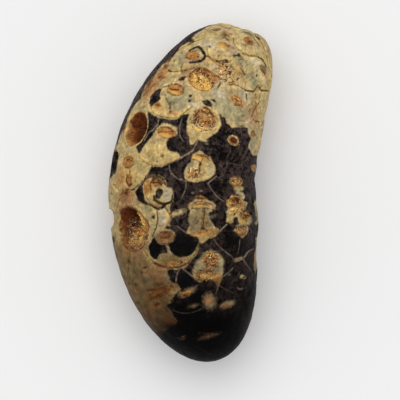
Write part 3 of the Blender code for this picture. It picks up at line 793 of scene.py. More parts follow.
# Worn patches, floors of the weathered hollows and their stains. Each layer runs from the stem end down.
STAINS = (
    *spots(Layer.CREAM,
        (-33, 65.7, 12, 0.7, 0.4), (6, 65.2, 11, 1.9, 0.5), (33.6, 65, 2.2, 0.8, 0.3),
        (14, 43.3, 8, 0.6, 0.3), (39.5, 38.8, 3, 1.2, 0.6),
    ),
    Ring(Layer.CREAM, -14.2, 77.2, 14.8, 3.3, 0.22, half_line_mm=0.22),
    Ring(Layer.CREAM, 6.5, 67.3, 13.2, 3.9, 0.3, half_line_mm=0.35),
    Ring(Layer.CREAM, -46, 38.5, 18.2, 5.4, 0.3, half_line_mm=0.2),
    *spots(Layer.LILAC,
        (9, 75.8, 9, 1.2, 0.8), (33, 88.3, 8, 1, 0.8), (-9.5, 81.6, 3.5, 0.9, 0.5), (9.6, 17, 6, 2.1, 0.4),
        (28.6, 14.4, 9, 1.1, 0.3),
    ),
    *spots(Layer.OLIVE, (-25, 90.9, 6, 1, 0.8), (18, 84.4, 8.5, 0.8, 0.9), (0, 82.8, 7, 1.6, 1.4)),
    Patch(Layer.OCHRE, pairs(-31, 49.6, -27, 50, -23, 49, -24, 47.2, -27, 46.2, -30.4, 46.6, -32.4, 48)),
    *spots(Layer.OCHRE,
        (-15.8, 87.9, 8, 0.8, 0.4), (-56, 73.6, 7.5, 1.3, 1.2), (-60, 69.5, 6, 2.5, 1.6),
        (3, 82.6, 12, 0.3, 1.2), (9, 80.6, 9, 0.3, 1.2), (-1, 79.2, 3.6, 1, 0.6), (28, 76.8, 9.5, 1.3, 1),
        (-14.2, 77.2, 13.8, 3, 0.22), (-38.5, 66.6, 4.6, 0.8, 0.6), (-21, 66.4, 4, 0.4, 0.6),
        (5.5, 68.6, 10.6, 2.3, 0.5), (-52.5, 60.4, 12.6, 3.75, 0.3), (-49.5, 54.4, 5, 0.4, 0.4),
        (-54, 49.8, 8, 1.4, 2.6), (-55, 49, 3, 0.9, 0.8), (-27.6, 47.9, 3.8, 1.5, 0.3),
        (-20, 49.1, 4.6, 0.9, 0.5), (12.5, 57.5, 6.4, 0.8, 0.5), (7.5, 52.2, 5, 1.2, 0.9),
        (15.5, 43.9, 9, 0.45, 0.4), (15.4, 45.6, 5.8, 0.7, 0.4), (15.5, 35.5, 12, 0.9, 0.7),
        (16, 38.6, 1.6, 2.4, 1.2), (47, 43.8, 9.8, 2.4, 0.6), (59.5, 40, 7.6, 2.1, 0.5, -15),
        (-10.8, 39.4, 1.6, 0.6, 0.3), (-13, 28.7, 13, 0.8, 0.7), (18, 27.8, 7.4, 2.2, 0.4),
        (11.5, 24, 9.6, 1.6, 0.5), (18.6, 22.7, 7, 0.9, 0.5), (21.5, 21.6, 2.6, 1, 0.6),
        (9.2, 17, 3.6, 1.1, 0.8), (26.4, 14.2, 4.6, 0.55, 0.5), (-46, 38.4, 17, 5, 0.5),
        (-46, 34.8, 13.5, 1.4, 0.8), (-50, 46.2, 7, 1.6, 1.2), (-32, 22.3, 16, 1.3, 0.9, 7),
        (-44, 19.4, 6, 0.9, 1), (-38, 14.4, 6, 0.45, 0.7),
    ),
    *spots(Layer.STRAW,
        (-17, 87.3, 5, 0.4, 0.4), (15, 84.5, 4, 0.4, 0.5), (1, 82.6, 3, 0.8, 0.9),
        # the two small spots at (28, 77.25) and (22, 77.1) are painted highlights on a worn eye
        (11.5, 80.9, 2.6, 0.7, 0.9), (28, 77.25, 1.8, 0.22, 0.2), (22, 77.1, 1.6, 0.2, 0.2),
        (-12.5, 76.5, 11, 2.1, 0.4), (-5, 77.2, 3.4, 1.1, 0.5), (-22, 77.4, 2.4, 0.5, 0.4),
        (-31, 70.9, 5, 0.35, 0.4), (3, 64.8, 3.4, 0.5, 0.5), (9.6, 65.6, 2, 0.7, 0.5),
        (5.5, 69.2, 4, 0.7, 0.6), (11, 68.7, 2.2, 0.3, 0.3), (-22, 60.5, 6, 0.5, 0.4),
        # the small spot at (-29.6, 48.9) is a painted highlight in the orange blob
        (-29.6, 48.9, 1, 0.3, 0.3), (9, 56.9, 4, 0.5, 0.5), (13, 43.3, 3, 0.25, 0.3),
        (12, 35.1, 5, 0.3, 0.5), (44, 46.1, 2.4, 0.4, 0.3), (40, 43.9, 4, 1.1, 0.5),
        (45.5, 41.6, 6, 1.3, 0.5), (62, 40.5, 4.2, 0.35, 0.3, -16), (56, 38, 5.4, 1, 0.5),
        (50, 34.3, 4, 0.4, 0.5), (47, 50.9, 4.6, 0.5, 0.4), (-11.5, 41.6, 2.6, 0.7, 0.4),
        (16.5, 29.2, 4, 0.35, 0.3), (20, 27, 1.6, 0.4, 0.25), (9.6, 23.8, 4, 0.5, 0.4),
        (17, 22.9, 4.4, 0.25, 0.35), (9.4, 16.7, 1, 0.4, 0.6), (-8, 20.75, 4, 0.14, 0.2, 6),
        (-38.5, 40.3, 4.6, 2.1, 0.7), (-45, 36.2, 8, 1.1, 0.8),
    ),
    Ring(Layer.STRAW, -52.5, 60.4, 13.3, 4, 0.16, half_line_mm=0.12),
    *lines(Layer.STRAW, 0.16, (0.1, -38, 54.9, -33, 53.7, -26, 53.5, -18, 53.7, -11, 54.8, -6, 56)),
    *spots(Layer.ROSE, (53.5, 33.4, 6.5, 1, 0.5), (18.6, 27.4, 5, 1.2, 0.5)),
    *spots(Layer.RUST,
        (-43.5, 91, 2.6, 0.3, 0.3), (15, 91.9, 5, 0.3, 0.5), (29, 93.05, 3.2, 0.25, 0.3),
        (-31.6, 81.7, 1.8, 0.28, 0.25), (-60.5, 84.7, 6, 0.75, 0.4), (-56, 83.6, 2.4, 0.5, 0.4),
        (-59.5, 75.6, 3.2, 0.7, 0.5), (-56, 72.9, 1.8, 0.25, 0.25), (-66, 70.5, 3, 1.6, 0.9),
        (-64, 77.5, 3, 1.2, 0.8), (-70, 60, 3, 1.2, 0.8), (-1, 84.7, 3.6, 0.35, 0.25),
        (5, 84.15, 1.6, 0.22, 0.25), (-7, 81.5, 1, 0.3, 0.2), (-21.5, 79, 2.6, 0.75, 0.4),
        (-13.5, 78.9, 4.4, 0.35, 0.5), (-13.5, 80, 6.5, 0.25, 0.25), (-7, 78.4, 2.2, 0.28, 0.25),
        (-2.6, 78, 1.6, 0.35, 0.25), (-38, 66.8, 2.4, 0.3, 0.4), (38.2, 65.3, 4.2, 0.95, 0.16, -8),
        (-52.8, 60.9, 12, 3.5, 0.4), (-50.5, 46.8, 4.5, 0.6, 0.7), (8.8, 51.6, 1.8, 0.25, 0.3),
        (12.3, 55.2, 0.8, 0.6, 0.3), (14, 45.6, 4.4, 0.25, 0.4), (15.2, 36.9, 1.6, 0.45, 0.4),
        (49.8, 45.1, 4.6, 1.1, 0.35), (52.5, 41.6, 2.8, 0.45, 0.3), (43.5, 43.2, 2, 0.4, 0.3),
        (46, 38.6, 2.4, 0.6, 0.5), (57.5, 41.2, 5.6, 0.45, 0.3, -14), (64, 39.1, 3.4, 0.6, 0.4),
        (51.5, 35.9, 7.6, 0.45, 0.3), (-15.2, 37.1, 5.6, 0.25, 0.3), (-5.5, 27.9, 4, 0.3, 0.4),
        (21.4, 25.8, 2.4, 0.45, 0.3), (14, 27, 2, 0.7, 0.35), (7.4, 25.3, 3.2, 0.35, 0.35),
        (15.5, 24.9, 2.6, 0.3, 0.35), (15.5, 21.5, 5.4, 0.5, 0.6), (49, 20.6, 0.9, 0.2, 0.2),
        (-11, 20.3, 3.4, 0.25, 0.3), (-50.5, 41.2, 10.5, 2.5, 0.5), (-37, 36.2, 3, 0.8, 0.5),
        (-48, 36.6, 2.4, 0.5, 0.4), (-47, 42.6, 7, 1.3, 0.6), (-58, 38.6, 4, 2.6, 0.8),
        (-41, 23.5, 6.5, 0.4, 0.4), (-38, 21.6, 9, 0.4, 0.8, 8), (-29, 23.2, 5, 0.5, 0.9),
        (-38, 23.3, 3.4, 0.3, 0.4), (-59, 25.7, 2.2, 0.3, 0.5), (-57.7, 31.3, 2.4, 0.4, 0.6),
        (-70, 21.2, 3.4, 0.2, 0.5), (-66, 11.6, 7, 0.4, 0.6), (-44, 28.3, 1.4, 0.3, 0.3),
        (-43, 19.6, 3.6, 0.3, 0.4), (-30, 24.4, 4, 0.3, 0.7), (-38.6, 29.3, 3.6, 0.3, 0.2),
        (-42, 12.9, 8, 0.45, 0.8), (-77, 52.3, 9, 2, 0.8),
    ),
    Ring(Layer.RUST, -49.5, 53.2, 6.6, 1.2, 0.16, half_line_mm=0.14),
    Ring(Layer.RUST, -46, 38.5, 16.6, 4.9, 0.3, half_line_mm=0.2),
    *lines(Layer.RUST, 0.16,
        (0.18, 16, 84.9, 19, 84.75, 22, 84.5, 25, 84.35), (0.1, -5, 81, -2, 81.6, 2, 81.2, 6, 81.9),
        (0.1, 2, 83, 6, 82.6, 9, 83), (0.09, 8, 81.8, 10, 81, 13, 81.4, 15, 80.6),
        (0.08, 9, 80, 12, 80.3, 14, 79.6), (0.07, -8, 84, -4, 84.4, 0, 84.7, 2.6, 84.5),
        (0.1, -6, 82.6, -3, 83, 1, 82.6, 4, 83.1, 6, 83.8), (0.09, -4, 82, 0, 81.9, 3, 82.2),
        (0.11, -3, 80.9, 0, 80.6, 4, 80.9), (0.09, 4, 84.9, 6.6, 84.2, 9, 83.9, 11, 83.1),
        (0.09, 7, 82.4, 10, 82.7, 13, 82.1, 15, 81.3), (0.1, -1, 79.8, 3, 79.9, 6, 79.4),
        (0.09, 6, 81.2, 8, 80.6, 10.6, 81), (0.08, 11, 79.2, 14, 80.4, 17, 80.1),
        (0.08, -22, 88.6, -16, 88.8, -10, 88.3),
        (0.12, -48.6, 48.4, -48.8, 49.6, -46.4, 50.6, -44.2, 49.6, -44.6, 48.4),
        (0.12, 8.4, 57.8, 12, 58.3, 16, 57.9, 18, 57),
        (0.14, 13, 57, 12.4, 55.8, 10.8, 55, 11.6, 54.2, 13.4, 54), (0.1, 5.4, 53.2, 7.6, 53.8, 10.2, 53.2),
        (0.1, 12, 52.9, 14.6, 52.6, 16.2, 53.3), (0.12, 7.6, 51.9, 10.4, 51.3, 13, 51.8),
        (0.08, 16, 55.4, 18.4, 55, 20, 55.6), (0.1, 16.6, 41.8, 16.2, 39.8, 15.6, 38.2, 15.2, 37),
        (0.1, 7, 42.7, 12, 42.4, 18, 42.5, 25, 42.3), (0.1, 37.4, 44.3, 41, 44.6, 44, 44.1),
        (0.1, 44, 40.6, 48, 41.2, 51, 40.8, 53, 40), (0.1, 40, 41.4, 42.4, 41, 43, 39.9),
        (0.08, -20, 36.2, -16, 36.6, -11, 36.3), (0.08, -19, 35.1, -15, 35.4, -11, 35.1),
        (0.1, 11.6, 28.4, 14, 29.5, 19, 29.6, 23.4, 28.8, 25, 27.4),
        (0.1, 13.4, 27.4, 16, 28.3, 20, 28.4, 22.6, 27.6, 21.4, 26.7, 18, 26.9),
        (0.1, 4, 24.3, 7, 24.9, 12, 24.7, 17, 24.4, 20, 23.6), (0.08, 5, 23.2, 9, 23.5, 13, 22.9, 17, 23.2),
        (0.06, -17, 20.2, -12, 21.3, -6, 21.4, -2, 21), (0.12, -44.5, 28, -42, 27.95, -39, 28.1, -36, 28.7),
    ),
    *lines(Layer.RUST, 0.18,
        (0.12, -26, 62, -22.5, 62.6, -18, 62.5, -15, 61.8),
        (0.12, 38.4, 42.9, 42, 43.5, 47, 43.3, 52, 43.8, 58, 43.4), (0.12, 56, 39.2, 60, 38.4, 64, 37.6),
    ),
    *lines(Layer.RUST, 0.2,
        (0.1, -24, 90.35, -21, 90.1, -18, 90.1), (0.06, -22, 88.3, -15, 88.6, -8, 88.2),
        (0.16, -4, 83.4, -1, 83.7, 2, 83.4), (0.21, -36, 71.4, -33, 71.3, -30, 71.6, -27, 72),
        (0.14, -27.5, 60.9, -24, 61.3, -20, 61.6, -16, 62.1, -14, 62.2),
        (0.16, 44, 46.8, 48, 47, 52, 46.7, 54.4, 45.6, 54, 44.6),
        (0.08, -47, 22.2, -41, 22.6, -36, 22.1, -30, 21.4),
        (0.08, -36, 21.2, -30, 22.4, -24, 23, -18, 23.4), (0.08, -46, 21, -40, 20.9, -35, 20.4),
    ),
    *lines(Layer.RUST, 0.22,
        (0.16, -22, 77.8, -19, 77.5, -16, 76.9, -17.5, 76.4, -14, 76.3, -12, 75.9),
        (0.12, -8, 80.2, -4, 79.4, -1.4, 78.2, -0.6, 76.6, -3, 75.1, -9, 74.3, -17, 74.6, -23, 75.6),
        (0.14, -38, 71, -36.5, 70.4, -32, 70.2, -27, 70.4),
        (0.22, 0.8, 70.7, 3, 71, 6, 70.9, 9, 70.3, 13, 69.7), (0.19, 0, 69.8, 3, 69.6, 7, 69.9),
        (0.22, -2, 69.2, -3, 68, -1.5, 67.3, 0.6, 67.6, 1.2, 66.6, 0, 66, -2, 66.2),
        (0.19, 8, 69, 11, 69.3, 14, 68.6, 15.6, 67.6, 15.2, 66.6), (0.21, 6, 67, 8.5, 67.8, 11, 68.3),
        (0.22, 10.6, 67.6, 11.8, 67.1, 13.4, 66.8),
        (0.16, 1.5, 65.4, 3.5, 65.1, 6.4, 65.4, 7, 64.4, 5.4, 64.2), (0.19, -4.4, 67.9, -3, 67.4, -2.4, 66),
        (0.16, 47, 35, 50, 35.2, 52, 34.8, 54, 34.9), (0.16, 42.6, 51.8, 46, 52.1, 50, 51.7),
        (0.12, 44, 51, 47, 51.2, 50.4, 50.8),
    ),
    *lines(Layer.RUST, 0.25,
        (0.14, 10, 86.6, 13, 87.2, 16, 87.6, 19, 87.5, 23, 86.8), (0.12, -30, 90.6, -24, 91.3, -16, 91.1),
        (0.25, -4, 79.7, -1, 79.9, 2, 79.4),
        (0.14, 32, 77, 34, 76.3, 36, 76, 32, 75.8, 28.5, 75.5, 27, 75.2),
        (0.19, -24.5, 79.4, -26.6, 78.2, -27.4, 76.9, -25, 76.3),
        (0.19, -34, 72.8, -29.5, 73.1, -25, 73, -22, 72.2), (0.16, -46, 51.6, -46.2, 50.2),
        (0.19, -24, 50.2, -20, 50.5, -16, 49.9, -13.5, 49), (0.16, -23, 49.2, -19.5, 49.6, -16, 49),
        (0.16, -22, 48.3, -19.5, 48.8, -17.5, 48.2), (0.14, 40, 42.6, 44, 42.9, 48, 42.6, 51, 42),
        (0.14, 50, 40.2, 54, 39.2, 58, 38.2), (0.2, 41.5, 52.9, 45, 53.2, 50, 52.9, 52.5, 52),
    ),
    *lines(Layer.RUST, 0.3,
        (0.14, 29, 93, 34, 92.7, 38, 92.4), (0.16, 0, 93.95, 15, 93.95, 25, 93.6),
        (0.19, 44, 87.2, 50, 87, 55, 86.6), (0.16, 14, 86, 18, 85.7),
        (0.14, -46, 80.4, -40, 80.3, -35, 80.9), (0.1, -56, 93.3, -44, 93.1, -30, 93.4),
        (0.22, -29, 29.9, -24, 28.9, -18, 28.2, -12, 27.7, -7, 27.7, -3, 28.2),
    ),
    # a pale line cut out of the red eye's rust: a painted highlight
    *lines(Layer.RUST, 0.12, (0.04, 34.2, 66.2, 36.8, 65.95, 40.4, 65.35), cut=True),
    *lines(Layer.RUST, 0.14, (0.02, -52, 62, -54, 59.8, -53, 58.2), cut=True),
    *lines(Layer.RUST, 0.16,
        (0.1, 45, 45.6, 48, 45.1, 51, 45.3), (0.1, 47, 44.3, 50, 44.6, 53, 44.2),
        cut=True),
    *lines(Layer.RUST, 0.22, (0.05, -63, 60.2, -60, 58.6, -55, 57.4), cut=True),
    Line(Layer.RUST, pairs(41, 45, 44.5, 45.5, 46, 46.1), 0.14, 0.22),
    *spots(Layer.SEAM, (-12.8, 84.6, 1, 0.35, 0.25)),
    *lines(Layer.SEAM, 0.16, (0.1, 3, 79, 5, 78.2, 4, 77.4)),
)

# Where the stone is worn to a tangle of fine curls: brown lines, with painted highlights beside them.
CURLS = (
    *spots(Layer.CURL,
        (5.5, 67.4, 12, 3.6, 0.6), (2, 82.6, 10.5, 2.5, 0.6), (10, 80.8, 7, 1.6, 0.8),
        (-14, 77.2, 12, 2.6, 0.5), (2, 78.2, 4, 1.4, 0.8), (48, 43, 12, 4, 0.8), (59, 39.4, 8, 2.4, 0.6),
        (18, 27.8, 7.8, 2.4, 0.6), (12, 24, 10, 1.8, 0.6), (47, 51.2, 6.6, 1.5, 0.6),
        (50.5, 35.3, 6.5, 0.9, 0.4), (8, 53.2, 5.5, 2.4, 0.8), (-44, 37.6, 15, 4, 0.6),
        (-8, 28.7, 9, 0.8, 0.6),
    ),
)

# Where the black is deepest, at the lower end partly as painted shade, and where low eyes are free of the
# darkening of mineral stain and painted shade.
DEEP = (
    # the whole lower end: deepest black, partly the mineral's own colour and partly painted shade of the end
    # turned away from the light
    Patch(Layer.JET_AND_SHADE, pairs(
        -110, -3, -110, 12, -30, 14, -26, 20, -10, 19, 0, 19, 6, 13.5, 20, 11, 34, 12, 46, 7, 110, 5,
        110, -3,
    ), 2.5),
    *spots(Layer.JET_AND_SHADE,
        (-8, 24, 12, 2.4, 1), (2, 18.6, 14, 2.6, 1.2), (-3, 33.2, 13, 3.2, 1), (-27, 33.6, 8, 2.4, 1),
        (-10, 54, 6, 1.2, 1), (-38, 46.8, 5, 1.6, 1), (24, 38, 5, 2.4, 1.4), (7, 40.6, 3, 1.6, 1),
        (38, 32, 8, 2.6, 1.6), (4, 47.5, 6, 1.4, 2), (28, 49, 7, 2, 2.6), (30, 60, 8, 2.2, 3.2),
        (-23, 52.2, 6, 0.8, 0.9), (-35, 59, 3, 2, 1.6), (-11, 65.6, 4, 1.2, 1.2), (50, 30, 14, 3, 3.4),
        (24, 66, 4, 2, 2), (-13, 59, 5, 1.4, 1.8),
    ),
    *spots(Layer.TINT,
        (-37, 8.9, 8, 0.3, 0.9), (-2, 7.6, 10, 0.3, 0.9), (9.2, 17, 3.2, 1.1, 0.9),
        (28.4, 14.4, 7, 0.7, 0.5), (-9, 20.7, 7, 0.8, 0.4, 8), (49.2, 21, 4.4, 0.8, 0.4),
        (18, 26, 12, 4.2, 0.8),
    ),
)


def add_node(
    tree: Tree, kind: str, inputs: dict[str | int, object] | None = None, **settings: object
) -> bpy.types.Node:
    """Adds one node with its settings, values and links.

    Args:
        tree: the material's node tree.
        kind: the node's type name.
        inputs: for a socket's name or number, a value, or the output of another node.
        settings: the node's own properties.

    Returns:
        The new node.
    """
    node = tree.nodes.new(kind)
    for name, value in settings.items():
        setattr(node, name, value)
    for socket, value in (inputs or {}).items():
        if isinstance(value, Socket):
            tree.links.new(value, node.inputs[socket])
        else:
            node.inputs[socket].default_value = value
    return node


def linear(hex_colour: str) -> tuple[float, float, float, float]:
    """An sRGB colour such as #d8c68a as linear red, green, blue and 1."""
    channels = [int(hex_colour[start:start + 2], 16) / 255 for start in (1, 3, 5)]
    return (*(c / 12.92 if c <= 0.04045 else ((c + 0.055) / 1.055) ** 2.4 for c in channels), 1.0)


@dataclass(frozen=True)
class Cover:
    """The cone's cover of overlapping scales, which gives the stone its relief and its seams."""

    body: Body
    pitch_mm: float = 13.0
    column_step_deg: float = 30.0
    first_column_deg: float = 15.0
    first_eye_mm: float = 3.0
    hidden_from_deg: float = 70.0
    uneven_mm: float = 1.2
    uneven_deg: float = 3.0
    uneven_frequency: float = 0.37
    uneven_seed: int = 7
    ledge_mm: float = 0.28
    faint_share: float = 0.3
    swell_mm: float = 0.55
    swell_length_mm: float = 7.0
    run_mm: float = 14.0
    seam_reach_deg: float = 12.0
    seam_reach_mm: float = 3.0
    scale_length_mm: float = 12.0
    groove_mm: float = 0.14
    groove_width_mm: float = 0.25

    def scales(self) -> list[Scale]:
        """The upper scales and the ruled ones of the underside, from the stem end down.

        The noise that makes the ruled ones uneven is seeded, because it would start from the time otherwise.

        Returns:
            All scales, the topmost first.
        """
        noise.seed_set(self.uneven_seed)
        scales = list(UPPER_SCALES)
        for column in range(round(360.0 / self.column_step_deg)):
            around = turn(self.first_column_deg + column * self.column_step_deg)
            if abs(around) < self.hidden_from_deg:
                continue
            along = self.first_eye_mm + (column % 2) * self.pitch_mm / 2
            while along < self.body.length():
                uneven = Vector((column, along, self.column_step_deg)) * self.uneven_frequency
                uneven = noise.noise_vector(uneven)
                scales.append(Scale(along + self.uneven_mm * uneven.x, around + self.uneven_deg * uneven.y))
                along += self.pitch_mm
        return sorted(scales, key=lambda scale: -scale.along)

    def lay(self, places: Places) -> tuple[np.ndarray, np.ndarray]:
        """Lays the scales from the stem end down, each under those before it.

        A scale holds the places above its lower margin that no earlier one holds. Its height is
        ledge * (1 - distance above the margin / run) + swell * (1 - across^2 - (below / length)^2).

        Args:
            places: where each vertex lies.

        Returns:
            The relief in millimetres, and the distance to the nearest margin in sight, in millimetres.
        """
        height = np.zeros(places.along.shape)
        seam = np.full(places.along.shape, 9.0)
        free = np.ones(places.along.shape, bool)
        for scale in self.scales():
            edge = scale.edge()
            left, right = edge[0][0], edge[-1][0]
            middle = (left + right) / 2
            off = turn(places.around - middle)
            within = free & (np.abs(off) < (right - left) / 2 + self.seam_reach_deg)
            near = within & (places.along > min(a for _, a in edge) - self.seam_reach_mm)
            close = near & (places.along < scale.along + self.scale_length_mm)
            if close.any() and not scale.faint:
                seam[close] = np.minimum(seam[close], -Line(Layer.SEAM, edge, 0.0).reach(places.part(close)))
            lowest = np.interp(off, [a - middle for a, _ in edge], [b for _, b in edge])
            above = places.along - lowest
            held = near & (np.abs(off) < (right - left) / 2) & (above > 0)
            across = turn(places.around[held] - scale.around) / scale.half_angle
            below = places.along[held] - scale.along
            ledge = self.ledge_mm * (self.faint_share if scale.faint else 1.0)
            rise = ledge * np.clip(1 - above[held] / self.run_mm, 0, 1)
            swell = self.swell_mm * np.clip(1 - across**2 - (below / self.swell_length_mm) ** 2, 0, 1)
            height[held] = rise + swell
            free &= ~held
        return height, seam


def noises(points: np.ndarray, rows: Noises) -> np.ndarray:
    """The sum of some noises, each row its height, its period in millimetres and its seed."""
    return sum(height * lattice_noise(points, period, seed) for height, period, seed in rows)


def by_layer(marks: tuple[Patch | Spot | Line, ...]) -> dict[Layer, list[Patch | Spot | Line]]:
    """The marks of each layer, in their order."""
    return {layer: [mark for mark in marks if mark.layer is layer] for layer in Layer}


def band(inside: np.ndarray, edge: float) -> np.ndarray:
    """A layer's field, from how far each vertex lies inside and the width of the soft edge."""
    return np.clip(inside / edge, -CLEAR, CLEAR)


@dataclass
class Skin:
    """The whole stone surface on one grid, closer on the upper side, with its relief and colour layers."""

    body: Body
    cover: Cover
    columns: int = 272
    rows: int = 364
    upper_closeness: float = 0.45
    inset_mm: float = 0.6
    bare_tip_mm: float = 1.5
    full_relief_mm: float = 6.5
    grain_mm: Noises = ((0.05, 1.7, 1), (0.03, 0.8, 2))
    pit_reach: float = 1.4
    pit_mouth: Noises = ((0.16, 1.6, 3), (0.08, 0.7, 4))
    pit_floor: Noises = ((0.3, 0.9, 5),)
    apex_relief: float = 0.15
    apex_fade_mm: tuple[float, float] = (4.0, 30.0)
    scar_radius_mm: float = 3.2
    scar_depth_mm: float = 0.7
    cutter_lift: float = 0.6
    spare_mm: float = 0.5
    hidden_deg: tuple[float, float] = (86.0, 98.0)
    hidden_wave_deg: Noises = ((9, 7.0, 18), (4, 2.5, 19))
    hidden_eyes_deg: float = 78.0
    under_deg: tuple[float, float] = (95.0, 150.0)
    left_black_start_mm: float = 50.0
    left_black_end_mm: tuple[float, float] = (10.0, 40.0)
    right_black_end_mm: tuple[float, float] = (63.0, 50.0)
    black_border_mm: Noises = ((7, 17.0, 11), (4, 7.0, 12), (1.6, 2.6, 16))
    border_slope: float = 1.5
    gap_mm: Noises = ((1.1, 5.0, 13),)
    gap_slope: float = 2.2
    seam_mm: float = 0.11
    seams_mm: tuple[float, float] = (19.0, 23.0)
    vein_mm: float = 0.1
    hidden_veins_mm: tuple[float, float] = (14.0, 24.0)
    line_edge_mm: float = 0.16
    margin_off_mm: float = 0.35
    margin_mm: float = 0.45
    margin_edge_mm: float = 0.3
    eye_light: float = 0.45
    druse_edge: float = 1 / 6
    vertices: np.ndarray = field(init=False)
    places: Places = field(init=False)
    layers: dict[Layer, np.ndarray] = field(init=False)

    def grid(self) -> tuple[np.ndarray, np.ndarray]:
        """Stations and angles of the grid, without its two poles.

        Rows are evenly spaced along the upper outline. The angle is x - closeness * sin(x).

        Returns:
            Two arrays of rows by columns: stations, and angles in radians.
        """
        turns = np.linspace(-np.pi / 2, np.pi / 2, 4001)
        stations = np.sin(turns)
        run = np.hypot(np.diff(self.body.along(stations)), np.diff(self.body.width(stations)))
        arc = np.concatenate([[0.0], np.cumsum(run)])
        rows = np.interp(np.linspace(0.0, arc[-1], self.rows + 2)[1:-1], arc, stations)
        x = np.linspace(-np.pi, np.pi, self.columns, endpoint=False)
        return np.meshgrid(rows, x - self.upper_closeness * np.sin(x), indexing="ij")

    def pit_depth(self, pit: Pit, places: Places, points: np.ndarray) -> np.ndarray:
        """Depth of one hollow: an ellipsoid sunk into the surface, with a ragged mouth and a rough floor.

        Args:
            pit: the hollow.
            places: where the vertices lie.
            points: the smooth body's points in millimetres.

        Returns:
            The depth at each vertex, in millimetres.
        """
        radius = pit.radius(places) * (1 + pit.ragged * noises(points, self.pit_mouth))
        spread = 1 - (self.cutter_lift / (1 + self.cutter_lift)) ** 2
        bowl = (1 + self.cutter_lift) * np.sqrt(np.clip(1 - spread * radius**2, 0, 1)) - self.cutter_lift
        rough = 1 + noises(points, self.pit_floor)
        return pit.depth * np.clip(bowl, 0, 1) * rough

    def relief(self, stations: np.ndarray, points: np.ndarray) -> tuple[np.ndarray, np.ndarray]:
        """Height of the surface over the smooth body: scales, seams, swellings, hollows and grain.

        Args:
            stations: the station of each vertex.
            points: the smooth body's points in millimetres.

        Returns:
            The height, and the distance to the nearest seam, both in millimetres.
        """
        height, seam = self.cover.lay(self.places)
        for _ in range(2):
            height = (np.roll(height, 1, 1) + 2 * height + np.roll(height, -1, 1)) / 4
            height[1:-1] = (height[:-2] + 2 * height[1:-1] + height[2:]) / 4
        height -= self.cover.groove_mm * np.exp(-((seam / self.cover.groove_width_mm) ** 2))
        width = self.places.width
        height *= np.clip((width - self.bare_tip_mm) / (self.full_relief_mm - self.bare_tip_mm), 0, 1)
        fade = smoothstep(*self.apex_fade_mm, self.places.along)
        height *= fade * (1 - self.apex_relief) + self.apex_relief
        scar = self.scar_depth_mm * np.exp(-((width / self.scar_radius_mm) ** 4))
        height -= np.where(stations > 0, scar, 0.0) + self.inset_mm
        for along, around, radius, rise in BULGES:
            off = np.radians(turn(self.places.around - around)) * self.body.half_width_mm[2]
            height += rise * np.exp(-(off**2 + (self.places.along - along) ** 2) / radius**2)
        height += noises(points, self.grain_mm)
        depth = np.zeros_like(height)
        for pit in PITS.values():
            near = pit.radius(self.places) < self.pit_reach
            depth[near] = np.maximum(depth[near], self.pit_depth(pit, self.places.part(near), points[near]))
        return height - depth, seam

    def field_of(self, marks: list[Patch | Spot | Line], base: np.ndarray | None = None) -> np.ndarray:
        """One layer's field: how far each vertex lies inside its marks, in widths of their soft edge.

        Marks are laid in order. One that adds takes the larger value, and one that cuts the smaller.

        Args:
            marks: the layer's marks.
            base: the field that they are laid on, or none for an empty layer.

        Returns:
            Values from -3, clear of every mark, to 3 well inside one.
        """
        total = np.full(self.places.along.shape, -CLEAR) if base is None else base.copy()
        for mark in marks:
            low_around, high_around, low_along, high_along = mark.span()
            spare = CLEAR * mark.edge_mm + self.spare_mm
            wide = np.degrees(spare / np.maximum(self.places.width, 2.0))
            near = (self.places.around > low_around - wide) & (self.places.around < high_around + wide)
            near &= (self.places.along > low_along - spare) & (self.places.along < high_along + spare)
            value = band(mark.reach(self.places.part(near)), mark.edge_mm)
            total[near] = np.minimum(total[near], -value) if mark.cut else np.maximum(total[near], value)
        return total

    def paint(self, seam: np.ndarray, points: np.ndarray) -> None:
        """Works out every colour layer, from the marks on the upper side and by rule on the hidden one.

        Args:
            seam: the distance to the nearest seam, in millimetres.
            points: the smooth body's points in millimetres.
        """
        eyes = tuple(mark for eye in EYES for mark in eye.marks())
        drawn = BLACK_FIELDS + PALE_ISLANDS + VEINS + CRACKS + TONES + STAINS + CURLS + DEEP + eyes
        self.layers = {layer: self.field_of(marks) for layer, marks in by_layer(drawn).items()}
        along = self.places.along
        wavy = np.abs(self.places.around) + noises(points, self.hidden_wave_deg)
        hidden = smoothstep(*self.hidden_deg, wavy)
        seams = band(self.seam_mm - seam, self.line_edge_mm)
        self.add_to(Layer.SEAM, seams, smoothstep(*self.seams_mm, along))
        margin = band(self.margin_mm - np.abs(seam - self.margin_off_mm), self.margin_edge_mm)
        self.add_to(Layer.CREAM, margin, 1 - hidden)
        for layer, marks in by_layer(self.hidden_marks()).items():
            if marks:
                base = self.hidden_black(seam, points) if layer is Layer.BLACK else None
                value = self.field_of(marks, base)
                self.layers[layer] = (1 - hidden) * self.layers[layer] + hidden * value
        broken = smoothstep(-0.3, 0.6, lattice_noise(points, 6.0, 14))
        veins = band(self.vein_mm - seam, self.line_edge_mm) - CLEAR * (1 - broken)
        veined = hidden * smoothstep(*self.hidden_veins_mm, along)
        self.layers[Layer.VEIN] = np.maximum(self.layers[Layer.VEIN], veined * veins - CLEAR * (1 - veined))
        # darker towards the apex: partly the dark mineral's stain, partly painted shade of the lower end
        tint_and_shade = np.interp(along, TINT_AND_SHADE_ALONG_MM, TINT_AND_SHADE_SHARE)
        tint_and_shade = tint_and_shade * (1 - self.eye_light * smoothstep(-1.0, 1.0, self.layers[Layer.TINT]))
        self.layers[Layer.TINT] = np.clip(tint_and_shade * (1 + 0.15 * lattice_noise(points, 5.0, 15)), 0, 1)
        radii = [pit.radius(self.places) for pit in PITS.values() if pit.crystals]
        self.layers[Layer.DRUSE] = band(1 - np.min(radii, axis=0), self.druse_edge)

    def add_to(self, layer: Layer, value: np.ndarray, where: np.ndarray) -> None:
        """Adds a field to a layer where the share is 1, and keeps it clear of the layer where it is 0."""
        self.layers[layer] = np.maximum(self.layers[layer], value - 2 * CLEAR * (1 - where))

